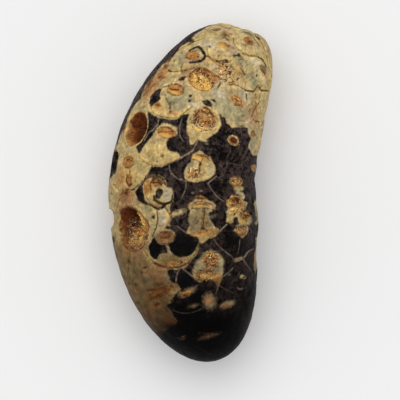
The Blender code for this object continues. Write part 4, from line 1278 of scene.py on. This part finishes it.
    def hidden_black(self, seam: np.ndarray, points: np.ndarray) -> np.ndarray:
        """The black of the hidden side, carried on from what the photo shows at both flanks.

        It fills the lower half below a cloudy border, and on the left it moves over to the upper half
        towards the flank. Dark gaps follow some of the seams.

        Args:
            seam: the distance to the nearest seam, in millimetres.
            points: the smooth body's points in millimetres.

        Returns:
            The black layer's field.
        """
        around, along = self.places.around, self.places.along
        under = smoothstep(*self.under_deg, np.abs(around))
        flank_end, under_end = self.left_black_end_mm
        left = (along - self.left_black_start_mm) * (1 - 2 * under)
        left = np.maximum(left, flank_end + (under_end - flank_end) * under - along)
        flank_end, under_end = self.right_black_end_mm
        right = flank_end + (under_end - flank_end) * under - along
        inside = np.where(around < 0, left, right) + noises(points, self.black_border_mm)
        gaps = noises(points, self.gap_mm) - seam
        return np.clip(np.maximum(self.border_slope * inside, self.gap_slope * gaps), -CLEAR, CLEAR)

    def hidden_marks(self) -> tuple[Patch | Spot | Line, ...]:
        """The worn eyes of the scales out of the photo's sight, each on its pale island, and the hollows.

        Returns:
            The marks, in the order that they are laid.
        """
        marks = []
        for scale in self.cover.scales():
            around, along = scale.around, scale.along
            if abs(around) > self.hidden_eyes_deg and 6 < along < self.body.length() - 4:
                uneven = math.sin(37 * along + around)
                size = 1 + 0.35 * uneven
                island = (around, along - 0.8 * size, 8.5 * size, 2.3 * size, 0.5)
                marks.append(Spot(Layer.BLACK, *island, cut=True))
                marks.extend(Eye(around, along, 5.5 * size, 1.05 * size, 10 * uneven).marks())
                marks.append(Spot(Layer.GREY, around, along - 4, 8.0, 2.4, 1.4))
                if uneven > 0:
                    marks.append(Spot(Layer.CURL, around, along, 7.0 * size, 1.5 * size, 0.6))
                    marks.append(Spot(Layer.STRAW, around, along - 0.3, 3.6 * size, 0.5 * size, 0.4))
        for pit in (PITS["pit_under_right"], PITS["pit_under_left"], PITS["cavity_flank"]):
            around, along, half_mm = pit.around, pit.along, pit.half_along
            half_deg = math.degrees(pit.half_across / self.body.half_width_mm[2])
            marks.append(Spot(Layer.BLACK, around, along, 1.5 * half_deg, 1.5 * half_mm, 0.4, cut=True))
            marks.append(Spot(Layer.OCHRE, around, along, 1.05 * half_deg, 1.05 * half_mm, 0.35))
            marks.append(Spot(Layer.STRAW, around, along - 0.5, 0.7 * half_deg, 0.6 * half_mm, 0.6))
            marks.append(Ring(Layer.RUST, around, along, half_deg, half_mm, 0.3, half_line_mm=0.2))
        return tuple(marks)

    def build(self) -> bpy.types.Object:
        """Makes the mesh: rows of quads between two poles, each closed by a fan of triangles.

        Every vertex is the smooth body's point + outward * relief. The result is moved so that it has
        the CAD box's middle and top, and what would lie below the floor is flattened onto it.

        Returns:
            The skin's object, in metres.
        """
        stations, angles = self.grid()
        points, outward = self.body.surface(stations, angles)
        degrees = np.degrees(angles)
        self.places = Places(degrees, self.body.along(stations), self.body.width(stations))
        height, seam = self.relief(stations, points)
        self.paint(seam, points)
        ends, end_outward = self.body.surface(np.array([-1.0, 1.0]), np.zeros(2))
        end_height = np.array([-self.inset_mm, -self.inset_mm - self.scar_depth_mm])
        raised = (points + outward * height[..., None]).reshape(-1, 3)
        places = np.concatenate([raised, ends + end_outward * end_height[:, None]])
        low, high = (np.array(corner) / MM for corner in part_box("cone"))
        found_low, found_high = places.min(0), places.max(0)
        places[:, :2] += ((low + high) / 2 - (found_low + found_high) / 2)[:2]
        places[:, 2] += high[2] - found_high[2]
        places[:, 2] = np.maximum(places[:, 2], 0.0)
        self.vertices = places
        return self.mesh_object(places * MM)

    def mesh_object(self, places: np.ndarray) -> bpy.types.Object:
        """The grid's faces, wound so that they face outwards, on the given vertices in metres.

        Args:
            places: the vertices, row by row, then the two poles.

        Returns:
            The skin's object, with its layers as point attributes.
        """
        index = np.arange(self.rows * self.columns).reshape(self.rows, self.columns)
        after = np.roll(index, -1, axis=1)
        quads = np.stack([index[:-1], index[1:], after[1:], after[:-1]], -1).reshape(-1, 4)
        apex, stem = self.rows * self.columns, self.rows * self.columns + 1
        first = np.stack([np.full(self.columns, apex), index[0], after[0]], -1)
        last = np.stack([np.full(self.columns, stem), after[-1], index[-1]], -1)
        mesh = bpy.data.meshes.new("cone_skin")
        mesh.from_pydata(places.tolist(), [], quads.tolist() + first.tolist() + last.tolist())
        for layer, value in self.layers.items():
            poles = np.array([value[0].mean(), value[-1].mean()])
            attribute = mesh.attributes.new(layer.value, "FLOAT", "POINT")
            attribute.data.foreach_set("value", np.concatenate([value.ravel(), poles]).astype(np.float32))
        mesh.shade_smooth()
        skin = bpy.data.objects.new("cone_skin", mesh)
        bpy.context.scene.collection.objects.link(skin)
        return skin


@dataclass(frozen=True)
class Druse:
    """Small quartz crystals that line a weathered hollow, joined in one mesh."""

    skin: Skin
    seed: int = 7
    width_to_length: float = 0.36
    foot: float = -0.4
    shoulder: float = 0.35
    tip: float = 0.8
    lean: float = 0.75
    uneven: tuple[float, float] = (0.6, 1.5)
    lined: float = 0.82

    def template(self) -> tuple[np.ndarray, list[tuple[int, ...]]]:
        """One crystal of unit length: a six-sided prism with a six-sided point, and a flat foot.

        Returns:
            Its vertices and its faces.
        """
        angles = np.arange(6) * np.pi / 3
        ring = np.stack([np.cos(angles) * self.width_to_length, np.sin(angles) * self.width_to_length], -1)
        foot = np.column_stack([ring, np.full(6, self.foot)])
        shoulder = np.column_stack([ring, np.full(6, self.shoulder)])
        vertices = np.concatenate([foot, shoulder, [[0.0, 0.0, self.tip]]])
        faces = [tuple(reversed(range(6)))]
        for side in range(6):
            following = (side + 1) % 6
            faces.append((side, following, 6 + following, 6 + side))
            faces.append((6 + side, 6 + following, 12))
        return vertices, faces

    def build(self, name: str, pit: Pit) -> bpy.types.Object:
        """Stands the hollow's crystals on randomly chosen vertices of its floor, each leaning its own way.

        Args:
            name: the name of the joined crystals.
            pit: the hollow that they line.

        Returns:
            The crystals' object, in metres.
        """
        chance = np.random.default_rng(self.seed + len(name) + pit.crystals)
        count = self.skin.rows * self.skin.columns
        vertices = self.skin.vertices[:count].reshape(self.skin.rows, self.skin.columns, 3)
        steps_on = np.gradient(vertices, axis=0)
        steps_round = (np.roll(vertices, -1, 1) - np.roll(vertices, 1, 1)) / 2
        normals = np.cross(steps_round, steps_on)
        normals /= np.maximum(np.linalg.norm(normals, axis=-1, keepdims=True), 1e-9)
        floor = np.argwhere(pit.radius(self.skin.places) < self.lined)
        floor = floor[chance.permutation(len(floor))[:pit.crystals]]
        feet, directions = vertices[floor[:, 0], floor[:, 1]], normals[floor[:, 0], floor[:, 1]]
        directions = directions + self.lean * chance.uniform(-1, 1, directions.shape)
        directions /= np.linalg.norm(directions, axis=-1, keepdims=True)
        sideways = np.cross(directions, chance.normal(size=directions.shape))
        sideways /= np.linalg.norm(sideways, axis=-1, keepdims=True)
        basis = np.stack([sideways, np.cross(directions, sideways), directions], 1)
        shape, faces = self.template()
        sizes = pit.crystal_mm * chance.uniform(*self.uneven, len(feet))
        placed = feet[:, None] + np.einsum("vk,ckx->cvx", shape, basis) * sizes[:, None, None]
        placed[..., 2] = np.maximum(placed[..., 2], 0.0)
        starts = range(0, len(feet) * len(shape), len(shape))
        all_faces = [tuple(start + corner for corner in face) for start in starts for face in faces]
        mesh = bpy.data.meshes.new(name)
        mesh.from_pydata((placed.reshape(-1, 3) * MM).tolist(), [], all_faces)
        for layer in (Layer.STRAW, Layer.RUST):
            value = self.skin.layers[layer][floor[:, 0], floor[:, 1]]
            attribute = mesh.attributes.new(layer.value, "FLOAT", "POINT")
            attribute.data.foreach_set("value", np.repeat(value, len(shape)).astype(np.float32))
        crystals = bpy.data.objects.new(name, mesh)
        bpy.context.scene.collection.objects.link(crystals)
        return crystals


@dataclass(frozen=True)
class LayerLook:
    """How one layer is drawn: two colours that a noise mixes, its ragged edge, and where it may lie."""

    layer: Layer
    colour: str
    other: str
    grain_mm: float
    ragged: float
    strength: float = 1.0
    only_on: Layer | None = None
    spread: tuple[float, float] = (0.35, 0.65)


@dataclass(frozen=True)
class SilicifiedWood:
    """Chalcedony that replaced the cone's wood, worn smooth by water.

    Its crystals are too small to see and its skin is finely scratched, so the eye gets clouded khaki
    stone with a dull sheen. The black mineral and the filled seams are worn level with it.
    """

    cream: str = "#cdb27a"
    hairline: str = "#6d5330"
    # pale specks on the black: painted glints
    glint: str = "#7d7274"
    # multiplied in towards the apex: the dark mineral's stain and painted shade
    tint_and_shade: str = "#39251a"
    # for each kind of cloud: its size in mm, where in its noise it begins and is full, its share, its colour
    clouds: tuple[tuple[float, float, float, float, str], ...] = (
        (3.0, 0.4, 0.62, 1.0, "#a4976c"),  # grey-green clouds
        (4.2, 0.48, 0.66, 0.8, "#b5966f"),  # rosy clouds
        (1.5, 0.56, 0.7, 0.75, "#94703c"),  # honey stains
        (0.8, 0.63, 0.72, 0.85, "#4f3a20"),  # small dark flecks
    )
    broken_lines: tuple[float, float, float, float] = (3.5, 0.48, 0.62, 0.55)
    # size, noise range and share of the painted glints on the black
    glints: tuple[float, float, float, float] = (0.6, 0.58, 0.72, 0.55)
    edge_noise_mm: float = 0.75
    cell_mm: float = 2.6
    bend_mm: float = 1.6
    line_share: float = 0.09
    curl_mm: float = 1.5
    mottle_mm: tuple[float, float] = (0.8, 2.3)
    mottle: tuple[float, float] = (0.64, 1.38)
    grain_mm: float = 0.5
    grain_depth_mm: float = 0.25
    grain_strength: tuple[float, float] = (0.2, 0.8)
    sheen_mm: float = 1.1
    roughness: tuple[float, float] = (0.4, 0.7)
    ior: float = 1.54
    specular: float = 0.035
    looks: tuple[LayerLook, ...] = (
        LayerLook(Layer.GREY, "#aba07c", "#8a8160", 1.8, 0.7, 0.8),
        LayerLook(Layer.CREAM, "#d6bb7c", "#b4955a", 1.2, 0.6, 0.85),
        LayerLook(Layer.LILAC, "#b5a78e", "#cabd98", 1.4, 0.8, 0.72),
        LayerLook(Layer.OLIVE, "#8e6f40", "#4c361c", 1.6, 0.7, 0.78),
        LayerLook(Layer.OCHRE, "#c08948", "#8a5426", 0.9, 0.45, 0.92),
        LayerLook(Layer.STRAW, "#f3cd76", "#d79a45", 0.8, 0.5, 0.9),
        LayerLook(Layer.ROSE, "#ab7d55", "#845738", 1.6, 0.8, 0.66),
        LayerLook(Layer.RUST, "#6c2f10", "#2c0d07", 0.6, 0.5, 0.93),
        LayerLook(Layer.SEAM, "#4d3518", "#2a1a10", 1.5, 0.5, 0.92),
        LayerLook(Layer.BLACK, "#43352f", "#080506", 1.5, 0.5, 1.0, None, (0.4, 0.58)),
        LayerLook(Layer.JET_AND_SHADE, "#080606", "#030303", 1.0, 0.6, 0.94, Layer.BLACK),
        LayerLook(Layer.VEIN, "#a59580", "#6b5c50", 1.2, 0.45, 0.8),
    )
    # bright lines beside the brown curls: painted highlights that stand in for relief
    painted_highlight_curl: LayerLook = LayerLook(Layer.CURL, "#f3dcae", "#e0b878", 0.6, 0.6, 0.9)
    brown_curl: LayerLook = LayerLook(Layer.CURL, "#64390f", "#351808", 0.6, 0.6, 0.9)

    def build(self) -> bpy.types.Material:
        """The stone's material, from its khaki ground through the layers to its sheen and grain.

        Returns:
            The finished material.
        """
        material = bpy.data.materials.new("silicified_wood")
        material.use_nodes = True
        tree = material.node_tree
        shader = tree.nodes["Principled BSDF"]
        place = add_node(tree, "ShaderNodeTexCoord").outputs["Object"]
        colour = self.shade(tree, place, self.layered(tree, place, self.ground(tree, place)))
        shader.inputs["Base Color"].default_value = linear(self.cream)
        tree.links.new(colour, shader.inputs["Base Color"])
        rough = add_node(
            tree, "ShaderNodeTexNoise", {"Vector": place, "Scale": 1 / (self.sheen_mm * MM), "Detail": 3.0},
        )
        spread = add_node(tree, "ShaderNodeMapRange", {
            "Value": rough.outputs["Fac"], "To Min": self.roughness[0], "To Max": self.roughness[1],
        })
        tree.links.new(spread.outputs["Result"], shader.inputs["Roughness"])
        shader.inputs["IOR"].default_value = self.ior
        shader.inputs["Specular IOR Level"].default_value = self.specular
        tree.links.new(self.grain(tree, place), shader.inputs["Normal"])
        return material

    def speckle(
        self, tree: Tree, place: Socket, size_mm: float, low: float, high: float, most: float = 1.0,
        least: float = 0.0,
    ) -> Socket:
        """A noise of one size, stretched so that low to high becomes least to most.

        Args:
            tree: the material's nodes.
            place: the place in the stone.
            size_mm: the size of its blots.
            low: the value that gives the least share.
            high: the value that gives the most.
            most: the largest share.
            least: the smallest share.

        Returns:
            The share.
        """
        noisy = add_node(tree, "ShaderNodeTexNoise", {
            "Vector": place, "Scale": 1 / (size_mm * MM), "Detail": 5.0, "Roughness": 0.65,
        })
        return add_node(tree, "ShaderNodeMapRange", {
            "Value": noisy.outputs["Fac"], "From Min": low, "From Max": high, "To Min": least, "To Max": most,
        }).outputs["Result"]

    def ground(self, tree: Tree, place: Socket) -> Socket:
        """Cream in soft clouds of other tones, with brown hairlines, and small dark flecks on top.

        Args:
            tree: the material's nodes.
            place: the place in the stone.

        Returns:
            The colour of the bare stone.
        """
        *soft, flecks = [(self.speckle(tree, place, *cloud), over) for *cloud, over in self.clouds]
        colour = linear(self.cream)
        for share, over in (*soft, (self.hairlines(tree, place), self.hairline), flecks):
            inputs = {0: share, 6: colour, 7: linear(over)}
            colour = add_node(tree, "ShaderNodeMix", inputs, data_type="RGBA").outputs[2]
        return colour

    def hairlines(self, tree: Tree, place: Socket) -> Socket:
        """Where fine lines run: the edges of bent cells, broken by a noise.

        Args:
            tree: the material's nodes.
            place: the place in the stone.

        Returns:
            The share, 1 on a line.
        """
        bend = add_node(
            tree, "ShaderNodeTexNoise", {"Vector": place, "Scale": 1 / (self.bend_mm * MM), "Detail": 3.0},
        )
        bent = add_node(tree, "ShaderNodeVectorMath", {
            0: bend.outputs["Color"], 1: (self.bend_mm * MM,) * 3, 2: place,
        }, operation="MULTIPLY_ADD")
        cells = add_node(tree, "ShaderNodeTexVoronoi", {
            "Vector": bent.outputs[0], "Scale": 1 / (self.cell_mm * MM),
        }, feature="DISTANCE_TO_EDGE")
        line = add_node(tree, "ShaderNodeMapRange", {
            "Value": cells.outputs["Distance"], "From Max": self.line_share, "To Min": 1.0, "To Max": 0.0,
        })
        broken = self.speckle(tree, place, *self.broken_lines)
        inputs = {0: line.outputs["Result"], 1: broken}
        return add_node(tree, "ShaderNodeMath", inputs, operation="MULTIPLY").outputs[0]

    def layered(self, tree: Tree, place: Socket, colour: Socket) -> Socket:
        """Lays the layers in their order, with curls under the seams, and pale specks on the black as painted
        glints.

        Args:
            tree: the material's nodes.
            place: the place in the stone.
            colour: the colour of the bare stone.

        Returns:
            The colour with all layers on it.
        """
        masks = {}
        for look in self.looks:
            mask = self.mask(tree, place, look)
            if look.only_on is not None:
                inputs = {0: mask, 1: masks[look.only_on]}
                mask = add_node(tree, "ShaderNodeMath", inputs, operation="MULTIPLY").outputs[0]
            masks[look.layer] = mask
            if look.layer is Layer.SEAM:
                colour = self.curls(tree, place, colour)
            colour = self.lay_on(tree, place, colour, mask, look)
            # pale specks on the black: painted glints of light
            if look.layer is Layer.BLACK:
                inputs = {0: self.speckle(tree, place, *self.glints), 1: mask}
                share = add_node(tree, "ShaderNodeMath", inputs, operation="MULTIPLY").outputs[0]
                inputs = {0: share, 6: colour, 7: linear(self.glint)}
                colour = add_node(tree, "ShaderNodeMix", inputs, data_type="RGBA").outputs[2]
        return colour

    def mask(self, tree: Tree, place: Socket, look: LayerLook) -> Socket:
        """Where a layer shows: its field plus a fine noise, turned into 0 to 1 by a smoothstep.

        Args:
            tree: the material's nodes.
            place: the place in the stone.
            look: the layer's look.

        Returns:
            The share of the layer.
        """
        value = add_node(tree, "ShaderNodeAttribute", attribute_name=look.layer.value)
        ragged = self.speckle(tree, place, self.edge_noise_mm, 0.0, 1.0, 2 * look.ragged, -2 * look.ragged)
        total = add_node(tree, "ShaderNodeMath", {0: value.outputs["Fac"], 1: ragged}, operation="ADD")
        return add_node(tree, "ShaderNodeMapRange", {
            "Value": total.outputs[0], "From Min": -1.0, "From Max": 1.0, "To Max": look.strength,
        }, interpolation_type="SMOOTHSTEP").outputs["Result"]

    def lay_on(self, tree: Tree, place: Socket, under: Socket, mask: Socket, look: LayerLook) -> Socket:
        """Lays a layer's two mixed colours over the colour under it.

        Args:
            tree: the material's nodes.
            place: the place in the stone.
            under: the colour below.
            mask: where the layer shows.
            look: the layer's look.

        Returns:
            The colour with the layer on it.
        """
        share = self.speckle(tree, place, look.grain_mm, *look.spread)
        inputs = {0: share, 6: linear(look.colour), 7: linear(look.other)}
        over = add_node(tree, "ShaderNodeMix", inputs, data_type="RGBA").outputs[2]
        return add_node(tree, "ShaderNodeMix", {0: mask, 6: under, 7: over}, data_type="RGBA").outputs[2]

    def curls(self, tree: Tree, place: Socket, under: Socket) -> Socket:
        """Fine curls where the stone is worn rough: brown contour lines of a smooth noise, with bright lines
        beside them as painted highlights that stand in for relief.

        Args:
            tree: the material's nodes.
            place: the place in the stone.
            under: the colour below.

        Returns:
            The colour with the curls on it.
        """
        mask = self.mask(tree, place, self.brown_curl)
        smooth = add_node(tree, "ShaderNodeTexNoise", {
            "Vector": place, "Scale": 1 / (self.curl_mm * MM), "Detail": 1.5, "Distortion": 0.6,
        })
        # the bright levels are painted highlights beside the brown curl line
        for level, half_width, look in (
            (0.46, 0.014, self.painted_highlight_curl), (0.50, 0.028, self.brown_curl), (0.60, 0.012, self.painted_highlight_curl),
        ):
            inputs = {0: smooth.outputs["Fac"], 1: level, 2: half_width}
            band = add_node(tree, "ShaderNodeMath", inputs, operation="COMPARE").outputs[0]
            near = add_node(tree, "ShaderNodeMath", {0: band, 1: mask}, operation="MULTIPLY").outputs[0]
            under = self.lay_on(tree, place, under, near, look)
        return under

    def shade(self, tree: Tree, place: Socket, under: Socket) -> Socket:
        """Fine light and dark mottling, and the darkening that deepens towards the apex: partly the dark
        mineral's stain, partly painted shade.

        Args:
            tree: the material's nodes.
            place: the place in the stone.
            under: the colour below.

        Returns:
            The darker or lighter colour.
        """
        darkest, lightest = self.mottle
        for size_mm in self.mottle_mm:
            value = self.speckle(tree, place, size_mm, 0.3, 0.7, lightest, darkest)
            grey = add_node(tree, "ShaderNodeCombineColor", {0: value, 1: value, 2: value}).outputs[0]
            mixed = add_node(
                tree, "ShaderNodeMix", {0: 1.0, 6: under, 7: grey}, data_type="RGBA", blend_type="MULTIPLY",
            )
            under = mixed.outputs[2]
        # the darkening towards the apex: mineral stain and painted shade
        dark = add_node(tree, "ShaderNodeAttribute", attribute_name=Layer.TINT.value).outputs["Fac"]
        inputs = {0: dark, 6: under, 7: linear(self.tint_and_shade)}
        return add_node(tree, "ShaderNodeMix", inputs, data_type="RGBA", blend_type="MULTIPLY").outputs[2]

    def grain(self, tree: Tree, place: Socket) -> Socket:
        """Fine pitting of the worn surface, coarser inside the hollows.

        Args:
            tree: the material's nodes.
            place: the place in the stone.

        Returns:
            The normals for the shader.
        """
        pitted = add_node(tree, "ShaderNodeTexNoise", {
            "Vector": place, "Scale": 1 / (self.grain_mm * MM), "Detail": 4.0, "Roughness": 0.6,
        })
        rough = add_node(tree, "ShaderNodeAttribute", attribute_name=Layer.DRUSE.value)
        least, most = self.grain_strength
        strength = add_node(tree, "ShaderNodeMapRange", {
            "Value": rough.outputs["Fac"], "From Min": -1.0, "From Max": 1.0, "To Min": least, "To Max": most,
        })
        return add_node(tree, "ShaderNodeBump", {
            "Height": pitted.outputs["Fac"], "Strength": strength.outputs["Result"],
            "Distance": self.grain_depth_mm * MM,
        }).outputs["Normal"]


@dataclass(frozen=True)
class HoneyQuartz:
    """Drusy quartz stained by iron, as it grew in the hollows.

    Its faces are smooth, so each tiny crystal catches one small highlight, from pale straw to red-brown.
    """

    pale: str = "#f3c766"
    honey: str = "#bb7830"
    dark: str = "#4a200e"
    cloud_mm: float = 0.7
    mottle: tuple[float, float] = (0.4, 1.25)
    roughness: float = 0.2
    ior: float = 1.54

    def build(self) -> bpy.types.Material:
        """The crystals' material: honey, darker or paler as the stone under each is, with a clear gloss.

        Returns:
            The finished material.
        """
        material = bpy.data.materials.new("honey_quartz")
        material.use_nodes = True
        tree = material.node_tree
        shader = tree.nodes["Principled BSDF"]
        place = add_node(tree, "ShaderNodeTexCoord").outputs["Object"]
        colour = linear(self.honey)
        for layer, over in ((Layer.STRAW, self.pale), (Layer.RUST, self.dark)):
            value = add_node(tree, "ShaderNodeAttribute", attribute_name=layer.value)
            share = add_node(tree, "ShaderNodeMapRange", {"Value": value.outputs["Fac"], "From Min": -1.0})
            inputs = {0: share.outputs["Result"], 6: colour, 7: linear(over)}
            colour = add_node(tree, "ShaderNodeMix", inputs, data_type="RGBA").outputs[2]
        clouds = add_node(
            tree, "ShaderNodeTexNoise", {"Vector": place, "Scale": 1 / (self.cloud_mm * MM), "Detail": 3.0},
        )
        least, most = self.mottle
        light = add_node(tree, "ShaderNodeMapRange", {
            "Value": clouds.outputs["Fac"], "From Min": 0.3, "From Max": 0.7, "To Min": least, "To Max": most,
        }).outputs["Result"]
        grey = add_node(tree, "ShaderNodeCombineColor", {0: light, 1: light, 2: light}).outputs[0]
        inputs = {0: 1.0, 6: colour, 7: grey}
        colour = add_node(tree, "ShaderNodeMix", inputs, data_type="RGBA", blend_type="MULTIPLY").outputs[2]
        shader.inputs["Base Color"].default_value = linear(self.honey)
        tree.links.new(colour, shader.inputs["Base Color"])
        shader.inputs["Roughness"].default_value = self.roughness
        shader.inputs["IOR"].default_value = self.ior
        return material


@dataclass(frozen=True)
class Studio:
    """A pale floor, one large soft light from the stem end's side, and the camera that looks down."""

    image_px: float = 400.0
    mm_per_px: float = 0.27
    origin_px: tuple[float, float] = (190.5, 192.5)
    outline_height_mm: float = 17.4
    camera_height_mm: float = 1200.0
    floor_half_m: float = 2.0
    floor_colour: str = "#efefef"
    floor_roughness: float = 0.9
    floor_specular: float = 0.1
    sensor_mm: float = 36.0
    world_strength: float = 0.56
    key_watts: float = 56.0
    key_size_m: float = 3.0
    key_place_m: tuple[float, float, float] = (-0.2, 0.75, 2.8)

    def build(self) -> None:
        """Adds floor, light, world and camera."""
        self.floor()
        self.light()
        self.camera()

    def floor(self) -> None:
        """A flat pale sheet under the stone, of matt paper: it throws soft light back and shows no gloss."""
        builder = bmesh.new()
        bmesh.ops.create_grid(builder, x_segments=8, y_segments=8, size=self.floor_half_m)
        mesh = bpy.data.meshes.new("floor")
        builder.to_mesh(mesh)
        builder.free()
        material = bpy.data.materials.new("matt_paper")
        material.use_nodes = True
        shader = material.node_tree.nodes["Principled BSDF"]
        shader.inputs["Base Color"].default_value = linear(self.floor_colour)
        shader.inputs["Roughness"].default_value = self.floor_roughness
        shader.inputs["Specular IOR Level"].default_value = self.floor_specular
        mesh.materials.append(material)
        sheet = bpy.data.objects.new("floor", mesh)
        bpy.context.scene.collection.objects.link(sheet)

    def light(self) -> None:
        """One square area light that aims at the stone, and an even pale world."""
        key = bpy.data.lights.new("key", "AREA")
        key.energy = self.key_watts
        key.size = self.key_size_m
        lamp = bpy.data.objects.new("key", key)
        lamp.location = self.key_place_m
        lamp.rotation_euler = (-Vector(self.key_place_m)).to_track_quat("-Z", "Y").to_euler()
        bpy.context.scene.collection.objects.link(lamp)
        world = bpy.data.worlds.new("studio")
        bpy.context.scene.world = world
        world.use_nodes = True
        background = world.node_tree.nodes["Background"]
        background.inputs["Color"].default_value = (1.0, 1.0, 1.0, 1.0)
        background.inputs["Strength"].default_value = self.world_strength
        bpy.context.scene.view_settings.view_transform = "Standard"

    def camera(self) -> None:
        """A long lens straight above, whose 400 pixels span 108 mm at the height of the outline."""
        lens = bpy.data.cameras.new("camera")
        span_mm = self.image_px * self.mm_per_px
        lens.sensor_width = self.sensor_mm
        lens.lens = lens.sensor_width * (self.camera_height_mm - self.outline_height_mm) / span_mm
        camera = bpy.data.objects.new("camera", lens)
        centre = self.image_px / 2
        camera.location = (
            (centre - self.origin_px[0]) * self.mm_per_px * MM,
            (self.origin_px[1] - centre) * self.mm_per_px * MM,
            self.camera_height_mm * MM,
        )
        bpy.context.scene.collection.objects.link(camera)
        bpy.context.scene.camera = camera


def dress(piece: bpy.types.Object, material: bpy.types.Material) -> None:
    """Gives a piece its material and the body it rides on, and reports it.

    Args:
        piece: the mesh object.
        material: its finish.
    """
    piece.data.materials.append(material)
    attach(piece, "root")
    log.info("%s: %d faces", piece.name, len(piece.data.polygons))


def main() -> None:
    """Builds the skin, the crystals of each hollow and the studio."""
    logging.basicConfig(level=logging.INFO, format="%(name)s: %(message)s")
    body = Body()
    skin = Skin(body, Cover(body))
    stone = skin.build()
    dress(stone, SilicifiedWood().build())
    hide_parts("cone")
    quartz = HoneyQuartz().build()
    druse = Druse(skin)
    for name, pit in PITS.items():
        if pit.crystals:
            dress(druse.build(name + "_crystals", pit), quartz)
    Studio().build()


if __name__ == "__main__":
    main()
